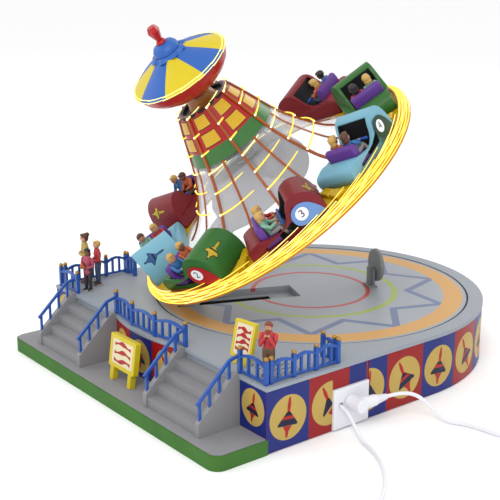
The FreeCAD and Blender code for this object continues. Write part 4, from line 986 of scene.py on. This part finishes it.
def lights():
    """Beads on the strips and rims, and the streaks that they draw."""
    beads = Shape("bead")
    horn_starts = []
    for i in range(STRIP_COUNT):
        angle = STRIP_PHASE + 360 / STRIP_COUNT * i
        for k in range(6):
            point = Vector(horn_surface(1.5)(angle, BEAD_TOP - BEAD_PITCH * k))
            beads.add(*blob(point, (BEAD_R, BEAD_R, BEAD_R), 10))
            horn_starts.append(WHEEL @ point)
    beads.make("strip_beads", "wheel", WHEEL)
    streaks("horn_streaks", horn_starts, 0.62)
    rim = Shape("trail_core")
    for k in range(HAT_STREAKS):
        for radius, height, size in ((34.7, 24.1, 0.42), (35.9, 22.6, 0.34)):
            start = 2 * math.pi * (k + 0.3 * size) / HAT_STREAKS
            path = [HAT @ Vector(polar(radius, start + 0.028 * j, height + 0.03 * j)) for j in range(15)]
            rim.add(*tube(path, [size * (1 - 0.03 * j) for j in range(15)], 8))
    rim.make("hat_streaks", "wheel", WORLD, ["hat_lamps"])
    band_starts = []
    for row in range(LAMP_ROWS):
        t = (row + 0.5) / LAMP_ROWS
        for k in range(BAND_STREAKS):
            a = 2 * math.pi * (k + 0.37 * row) / BAND_STREAKS
            r = RING_LIP + 1.3 + FASCIA_RUN * t
            band_starts.append(WHEEL @ Vector(polar(r, a, FASCIA_TOP - FASCIA_FALL * t)))
    streaks("band_streaks", band_starts, 0.42, 0.62)


GORE_COUNT = 8
GORE_PHASE = 30.5
GORE_COLS = 15
LEAF_HALF = 24.5                    # degrees at the rim; the leaf narrows to a point near the top
LEAF_END = 0.86
CANOPY = [
    (35.4, 21.9, 0), (35.2, 23.2, 0), (30.6, 25.9, 0), (24.0, 29.2, 0), (17.0, 32.4, 0), (11.6, 35.0, 0),
    (9.6, 36.2, 0), (9.2, 37.0, 0),
]
CANOPY_UNDER = [(35.4, 21.9), (33.4, 22.1), (24.0, 27.2), (12.0, 33.4), (9.2, 36.0)]
SKIRT_ROWS = [(37.6, 9.6, 0.2), (36.9, 11.2, 0.7), (35.6, 12.6, 1.2)]


def canopy():
    """Hat canopy of eight gores, yellow leaves between blue ones."""
    profile = [(r, z) for r, z, _ in spline(CANOPY, 6)]
    rows = len(profile)
    shape = Shape("hat_blue", "hat_yellow")
    for k in range(GORE_COUNT):
        finish = "hat_yellow" if k % 2 else "hat_blue"
        verts = []
        for i, (r, z) in enumerate(profile):
            t = i / (rows - 1)
            narrow = LEAF_HALF * math.sqrt(max(0.0, 1 - (t / LEAF_END) ** 3)) + 0.3
            half = narrow if k % 2 else 360 / GORE_COUNT - narrow
            for j in range(GORE_COLS):
                s = 2 * j / (GORE_COLS - 1) - 1
                a = math.radians(GORE_PHASE + 360 / GORE_COUNT * k + half * s)
                puff = 0.5 * (1 - s * s) * math.sin(math.pi * t)
                verts.append(polar(r + puff, a, z + puff))
        shape.add(verts, grid_faces(rows, GORE_COLS, False), finish)
    shape.add(*lathe(CANOPY_UNDER, 96), "hat_red")
    shape.make("canopy_gores", "wheel", HAT, ["hat_canopy"])
    skirt = Shape("hat_blue")
    verts = []
    for z, r, wave in SKIRT_ROWS:
        for a in ring_of(96):
            ripple = math.cos(GORE_COUNT * a)
            verts.append(polar(r + wave * ripple, a, z + 0.25 * ripple))
    skirt.add(verts, grid_faces(3, 96, True))
    skirt.make("knob_skirt", "wheel", HAT)


# ---- cars ---------------------------------------------------------------------------
CAR_SIDE = [
    (-27.6, 0.0), (-29.2, 4.0), (-28.6, 8.6), (-26.0, 11.0), (-20.0, 12.6), (-13.0, 11.0), (-6.0, 9.6),
    (-1.0, 10.4), (3.4, 14.2), (6.4, 19.6), (9.4, 23.4), (13.6, 25.0), (18.6, 24.4), (23.4, 21.4),
    (26.8, 16.2), (28.4, 9.6), (28.6, 4.0), (27.6, 0.0),
]
CAR_STYLES = {
    "car_red": {"panel": "panel_blue", "lines": ["line_green"], "emblem": "emblem_yellow"},
    "car_green": {"panel": "ink_red", "lines": ["star_blue", "ink_red"], "emblem": "emblem_yellow"},
    "car_blue": {"panel": "line_green", "lines": ["line_orange"], "emblem": "star_blue"},
}
CARS = ["car_blue", "car_green", "car_red", "car_blue", "car_green", "car_red", "car_blue", "car_red"]


# cockpit: its outline from the side, and the distances from the hub line between which it lies
PIT = [(-17.4, 4.0), (8.2, 4.0), (9.6, 9.0), (10.2, 16.0), (9.4, 22.6), (5.0, 40.0), (-17.4, 40.0)]
PIT_IN = CAR_IN + 2.2
PIT_OUT = CAR_OUT - 3.0


def car_outline():
    return spline(CAR_SIDE, 4)


def car_edge(radius, y):
    """Distance from the hub line to a ring of that radius, beside the car's middle."""
    return math.sqrt(radius * radius - y * y)


def prism(first, second):
    """Closed solid between two matching loops."""
    bm = bmesh.new()
    near = [bm.verts.new(p) for p in first]
    far = [bm.verts.new(p) for p in second]
    bm.faces.new(near)
    bm.faces.new(far[::-1])
    for i in range(len(near)):
        j = (i + 1) % len(near)
        bm.faces.new([near[i], far[i], far[j], near[j]])
    return bm


def solid_object(bm, name):
    """Object from a solid, its faces turned outward."""
    bmesh.ops.recalc_face_normals(bm, faces=bm.faces)
    mesh = bpy.data.meshes.new(name)
    bm.to_mesh(mesh)
    bm.free()
    obj = bpy.data.objects.new(name, mesh)
    bpy.context.scene.collection.objects.link(obj)
    return obj


def car_mesh():
    """Car shell: side profile between two ring-shaped sides, softened, with an open cockpit."""
    outline = car_outline()
    bm = prism([(car_edge(CAR_IN, y) + 0.4, y, z) for y, z in outline],
               [(car_edge(CAR_OUT, y), y, z) for y, z in outline])
    bm.normal_update()
    rim = []
    for e in bm.edges:
        at_side = len(e.link_faces) == 2 and any(len(f.verts) > 4 for f in e.link_faces)
        if at_side and min(v.co.z for v in e.verts) > 0.5:
            rim.append(e)
    bmesh.ops.bevel(bm, geom=rim, offset=1.3, segments=4, profile=0.5, affect="EDGES", clamp_overlap=True)
    shell = solid_object(bm, "car_shell")
    block = prism([(PIT_IN, y, z) for y, z in PIT], [(PIT_OUT, y, z) for y, z in PIT])
    cutter = solid_object(block, "car_pit")
    cut = shell.modifiers.new("pit", "BOOLEAN")
    cut.operation = "DIFFERENCE"
    cut.object = cutter
    cut.solver = "EXACT"
    bpy.context.view_layer.update()
    done = bpy.data.meshes.new_from_object(shell.evaluated_get(bpy.context.evaluated_depsgraph_get()))
    verts = [v.co.copy() for v in done.vertices]
    faces = [list(p.vertices) for p in done.polygons]
    inside = []
    for p in done.polygons:
        x, y, z = p.center
        walled = PIT_IN - 0.05 < x < PIT_OUT + 0.05 and -17.5 < y < 10.3 and z > 3.9
        inside.append(walled and clearance(outline, y, z) > 0.35)
    for obj in (shell, cutter):
        bpy.data.objects.remove(obj)
    return verts, faces, inside


def clearance(outline, y, z):
    """Distance from a point to the nearest stretch of the outline."""
    best = 1e9
    spot = Vector((y, z))
    for p, q in zip(outline[:-1], outline[1:]):
        a, b = Vector(p), Vector(q)
        t = max(0.0, min(1.0, (spot - a).dot(b - a) / max(1e-9, (b - a).length_squared)))
        best = min(best, (a + (b - a) * t - spot).length)
    return best


def car_side(lift):
    """Outer side of the car: distance along it and height."""
    def at(y, z):
        return car_edge(CAR_OUT + lift, y), y, z
    return at


def car_top(lift):
    """Top of the hood: distance across it, and a position along the outline's hood stretch."""
    hood = [p for p in car_outline() if p[0] > 9.0 and p[1] > 12]
    steps = [0.0]
    for p, q in zip(hood[:-1], hood[1:]):
        steps.append(steps[-1] + math.dist(p, q))

    def at(x, s):
        for i in range(len(hood) - 1):
            if s <= steps[i + 1] or i == len(hood) - 2:
                t = (s - steps[i]) / (steps[i + 1] - steps[i])
                y = hood[i][0] + (hood[i + 1][0] - hood[i][0]) * t
                z = hood[i][1] + (hood[i + 1][1] - hood[i][1]) * t
                dy, dz = hood[i + 1][0] - hood[i][0], hood[i + 1][1] - hood[i][1]
                size = math.hypot(dy, dz)
                return x, y - dz / size * lift, z + dy / size * lift
    return at


def number_loops(text, height):
    """Plain numeral as mesh outlines, centred."""
    curve = bpy.data.curves.new("numeral", "FONT")
    curve.body = text
    curve.size = height
    curve.align_x, curve.align_y = "CENTER", "CENTER"
    obj = bpy.data.objects.new("numeral", curve)
    bpy.context.scene.collection.objects.link(obj)
    bpy.context.view_layer.update()
    mesh = bpy.data.meshes.new_from_object(obj.evaluated_get(bpy.context.evaluated_depsgraph_get()))
    verts = [(v.co.x, v.co.y) for v in mesh.vertices]
    faces = [list(p.vertices) for p in mesh.polygons]
    bpy.data.objects.remove(obj)
    return verts, faces


TEARDROP = [
    (27.4, 3.4, 0), (24.6, 10.0, 0), (20.2, 16.0, 0), (14.4, 18.6, 0), (9.0, 17.0, 0), (6.4, 12.2, 0),
    (7.6, 7.0, 0), (12.2, 4.2, 0), (19.6, 3.2, 0),
]
NUMBER_AT = (13.6, 11.8)
EMBLEM_AT = ((CAR_IN + CAR_OUT) / 2 - 0.4, 19.0)
BENCH_SIDE = [
    (-16.9, 4.1), (-17.1, 14.0), (-16.8, 18.4), (-15.0, 20.0), (-12.6, 19.4), (-11.6, 17.0),
    (-11.9, 10.6), (-10.4, 9.4), (-7.0, 9.2), (-5.8, 8.4), (-5.6, 4.1),
]


def car_art(shape, style, number):
    """Teardrop panel with its numeral, skirt lines and hood emblem."""
    def mirrored(lift):
        side = car_side(lift)
        return lambda a, b: side(-a, b)

    drop = [(-y, z) for y, z, _ in spline(TEARDROP + TEARDROP[:1], 5)][:-1]
    shape.add(*sheet(drop[::-1], mirrored(0.06), 2), style["panel"])
    cy, cz = NUMBER_AT
    shape.add(*sheet(oval(-cy, cz, 4.3, 4.3, 32), mirrored(0.10), 2), "number_white")
    verts, faces = number_loops(number, 7.2)
    shape.add([car_side(0.14)(cy + x, cz + y) for x, y in verts], faces, "ink_navy")
    for k, ink in enumerate(style["lines"]):
        z = 1.5 + 1.2 * k
        loop = [(-27.0, z), (27.0, z), (27.0, z + 0.55), (-27.0, z + 0.55)]
        shape.add(*sheet(loop, car_side(0.05), 12), ink)
    for loop in (TOP_HANDLE, TOP_BODY, TOP_FOOT):
        shape.add(*sheet(placed(loop, *EMBLEM_AT, 9.4, 90), car_top(0.07), 6), "ink_black")
        shape.add(*sheet(placed(loop, *EMBLEM_AT, 8.2, 90), car_top(0.14), 6), style["emblem"])
    shape.add(*sheet(placed(TOP_STRIPE, *EMBLEM_AT, 8.2, 90), car_top(0.2), 6), "ink_black")


def bench_mesh():
    """Purple bench: rolled back, rounded seat."""
    side = spline(BENCH_SIDE, 4)
    xs = [CAR_IN + 2.7, CAR_IN + 3.0, CAR_IN + 4.0, CAR_OUT - 5.2, CAR_OUT - 4.2, CAR_OUT - 3.9]
    pull = [1.2, 0.4, 0.0, 0.0, 0.4, 1.2]
    centre = Vector((-13.0, 10.0))
    verts = []
    for x, p in zip(xs, pull):
        for y, z in side:
            v = Vector((y, z))
            away = (centre - v).normalized() * p
            verts.append((x, y + away.x, max(4.1, z + away.y)))
    count = len(side)
    faces = grid_faces(len(xs), count, True)
    faces.append(list(range(count)))
    faces.append([len(verts) - count + j for j in reversed(range(count))])
    return verts, faces


def cars():
    """Eight painted cars with their benches and riders."""
    verts, faces, inside = car_mesh()
    shell_faces = [f for f, dark in zip(faces, inside) if not dark]
    pit_faces = [f for f, dark in zip(faces, inside) if dark]
    seat = bench_mesh()
    chance = random.Random(4)
    benches = Shape("bench_purple")
    for i, paint_name in enumerate(CARS):
        style = CAR_STYLES[paint_name]
        place = WHEEL @ turned(CAR_PHASE + 360 / CAR_COUNT * i)
        shell = Shape(paint_name)
        shell.add(verts, shell_faces)
        shell.add(verts, pit_faces, "pit_dark")
        shell.make(f"car_shell_{i + 1}", "wheel", place, [f"car_{i + 1}"], sharp=40)
        art = Shape(style["panel"])
        car_art(art, style, str(i + 1))
        art.make(f"car_art_{i + 1}", "wheel", place, smooth=False)
        benches.add([place @ Vector(v) for v in seat[0]], seat[1])
        for j, x in enumerate((CAR_IN + 8.9, CAR_OUT - 9.6)):
            colours = [chance.choice(SKINS), chance.choice(HAIRS), TOPS[(3 * i + 2 * j + 1) % len(TOPS)],
                       chance.choice(LEGS), chance.choice(SHOES)]
            twist = chance.uniform(-10, 10)
            spot = place @ Matrix.Translation((x, -9.4, 8.4)) @ turned(twist) @ Matrix.Scale(1.1, 4)
            pose = dict(SIT)
            pose["head"] = (chance.uniform(-0.4, 0.4), chance.uniform(0, 0.6), 13.6)
            nodes = ["riders"] if i == 0 and j == 0 else []
            hair = chance.choice(["short", "long"])
            person(f"rider_{i + 1}_{j + 1}", pose, colours, spot, "wheel", nodes, hair=hair)
    benches.make("benches_purple", "wheel", WORLD, ["car_benches"])


# ---- leads --------------------------------------------------------------------------
# cords, in metres
CORD_D = 0.0024
CORD_ROUTE = [
    (0.13645, -0.05842, 0.0182), (0.138, -0.046, 0.0186), (0.1446, -0.0376, 0.0166),
    (0.1508, -0.0326, 0.0094), (0.159, -0.0276, 0.00125), (0.170, -0.021, 0.00125),
    (0.181, -0.0185, 0.00125), (0.193, -0.017, 0.00125), (0.2045, -0.0108, 0.00125),
]
LEAD_ROUTE = [
    (0.123, -0.086, 0.0166), (0.131, -0.0862, 0.0156), (0.138, -0.0866, 0.0096), (0.1465, -0.0876, 0.00125),
    (0.158, -0.0905, 0.00125), (0.172, -0.097, 0.00125), (0.186, -0.1075, 0.00125), (0.199, -0.121, 0.00125),
    (0.209, -0.137, 0.00125), (0.216, -0.152, 0.0036),
]
TAIL = [(0.2217, 0.022, 0.0086), (0.2217, 0.0338, 0.0086)]
COIL_AT = (0.204, 0.014)
# each turn of the coil: steps inward and layer
COIL_TURNS = [
    (0, 0), (1, 0), (2, 0), (3, 0), (2, 1), (1, 1), (0, 1), (1, 2), (2, 2), (3, 2), (2, 3), (1, 3), (0, 3),
]
COIL_START = -45.0                  # degrees
COIL_STEP = 0.00246
COIL_WIDE = 0.0177
COIL_LIFT = CORD_D / 2 + 0.00005
TURN_POINTS = 24
CROSSING = 0.36                     # share of a turn taken to move across or up
TIE_AT = 150                        # the tie round the coil, in degrees and millimetres
TIE_R = 14.0
TIE_HEIGHT = 5.0


def eased(t):
    return t * t * (3 - 2 * t)


def coil_point(r, degrees, layer):
    x, y, z = polar(r, math.radians(degrees), COIL_LIFT + layer * COIL_STEP)
    return COIL_AT[0] + x, COIL_AT[1] + y, z


def coil_points():
    """Turns of the stored lead: layer on layer, moving across early in each turn and up late in it."""
    points = []
    for i, (inward, layer) in enumerate(COIL_TURNS):
        radius = COIL_WIDE - inward * COIL_STEP
        before = COIL_WIDE - COIL_TURNS[i - 1][0] * COIL_STEP if i else radius
        after = COIL_TURNS[i + 1][1] if i + 1 < len(COIL_TURNS) else layer
        for k in range(TURN_POINTS):
            t = k / TURN_POINTS
            shift = eased(min(1.0, t / CROSSING))
            lift = eased(max(0.0, (t - 1 + CROSSING) / CROSSING)) * (after - layer)
            r = before + (radius - before) * shift
            points.append(coil_point(r, COIL_START + 360 * (i + t), layer + lift))
    for degrees in (-45, -34, -23, -12, 0):
        points.append(coil_point(COIL_WIDE, degrees, COIL_TURNS[-1][1]))
    return points


def cord_curve(name, points, diameter):
    """Round cord along a smooth NURBS line."""
    curve = bpy.data.curves.new(name, "CURVE")
    curve.dimensions = "3D"
    line = curve.splines.new("NURBS")
    line.points.add(len(points) - 1)
    for slot_point, p in zip(line.points, points):
        slot_point.co = (*p, 1)
    line.order_u = 3
    line.use_endpoint_u = True
    curve.resolution_u = 8
    curve.bevel_depth = diameter / 2
    curve.bevel_resolution = 5
    curve.materials.append(M["white_plastic"])
    obj = bpy.data.objects.new(name, curve)
    bpy.context.scene.collection.objects.link(obj)
    return obj


def leads():
    """Supply lead with its stored coil, and the short second lead."""
    supply = cord_curve("supply_lead", CORD_ROUTE + coil_points() + TAIL, CORD_D)
    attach(supply, "base")
    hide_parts("supply_cord", "supply_coil")
    second = cord_curve("second_lead_line", LEAD_ROUTE, CORD_D)
    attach(second, "base")
    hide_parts("second_lead")
    tie = Shape("black")
    for degrees in (TIE_AT, TIE_AT + 2):
        rim = []
        for b in ring_of(24):
            dr = max(-5.4, min(5.4, 7.2 * math.cos(b)))
            dz = max(-4.95, min(5.05, 7.0 * math.sin(b)))
            x, y, z = polar(TIE_R + dr, math.radians(degrees), TIE_HEIGHT + dz)
            rim.append((COIL_AT[0] / MM + x, COIL_AT[1] / MM + y, z))
        tie.add(rim, [])
    tie.faces = grid_faces(2, 24, True)
    tie.which = [0] * len(tie.faces)
    tie.make("coil_tie", "base")


# ---- stage --------------------------------------------------------------------------
FLOOR_HALF = 6.0
FLOOR_DROP = 0.00005
# name, place, power, size, colour
LAMPS = [
    ("key", (0.75, -1.0, 1.25), 9, 0.6, (1.0, 0.985, 0.96)),
    ("fill", (-1.1, -0.7, 0.7), 2, 1.0, (0.96, 0.98, 1.0)),
    ("rim", (-0.3, 1.2, 1.0), 4, 0.8, (1, 1, 1)),
]
LAMP_TARGET = (0, 0, 0.08)
EYE_AT = (0.5573, -0.4954, 0.2808)
EYE_TARGET = (-0.0533, -0.0147, 0.0625)
EYE_LENS = 76.06
EYE_SENSOR = 36.0


def aimed(obj, at, target):
    """Puts a lamp or camera at a place and turns it to its target."""
    obj.location = at
    obj.rotation_mode = "QUATERNION"
    obj.rotation_quaternion = (Vector(target) - Vector(at)).to_track_quat("-Z", "Y")
    bpy.context.scene.collection.objects.link(obj)


def stage_floor():
    """Pale floor just below the model."""
    mesh = bpy.data.meshes.new("floor")
    corners = [(x * FLOOR_HALF, y * FLOOR_HALF, 0) for x, y in ((-1, -1), (1, -1), (1, 1), (-1, 1))]
    mesh.from_pydata(corners, [], [(0, 1, 2, 3)])
    floor = bpy.data.objects.new("floor", mesh)
    floor.location = (0, 0, -FLOOR_DROP)
    bpy.context.scene.collection.objects.link(floor)
    n = Nodes("floor_white")
    n.colour(n.mix(n.noise(1.5, 2), (0.96, 0.96, 0.965, 1), (0.98, 0.98, 0.985, 1)))
    put(n.shader, Roughness=0.9, Specular_IOR_Level=0.1)
    mesh.materials.append(n.mat)


def stage():
    """Pale floor, bright surround, soft lights and the camera."""
    scene = bpy.context.scene
    stage_floor()
    world = bpy.data.worlds.new("surround")
    scene.world = world
    world.use_nodes = True
    put(world.node_tree.nodes["Background"], Color=(1.0, 1.0, 1.0, 1), Strength=1.0)
    for name, at, energy, wide, colour in LAMPS:
        lamp = bpy.data.lights.new(name, "AREA")
        lamp.energy = energy
        lamp.size = wide
        lamp.color = colour
        obj = bpy.data.objects.new(name, lamp)
        aimed(obj, at, LAMP_TARGET)
    lens = bpy.data.cameras.new("camera")
    lens.lens = EYE_LENS
    lens.sensor_width = EYE_SENSOR
    lens.clip_start = 0.01
    eye = bpy.data.objects.new("camera", lens)
    aimed(eye, EYE_AT, EYE_TARGET)
    scene.camera = eye
    scene.view_settings.view_transform = "Standard"
    scene.render.engine = "CYCLES"
    scene.cycles.max_bounces = 10
    scene.cycles.transparent_max_bounces = 24


base_looks()
printed_walls()
cut_ovals()
speaker_slot_shade()
sign_art()
crowd()
horn()
ring()
canopy()
cars()
lights()
leads()
stage()

bpy.context.view_layer.update()
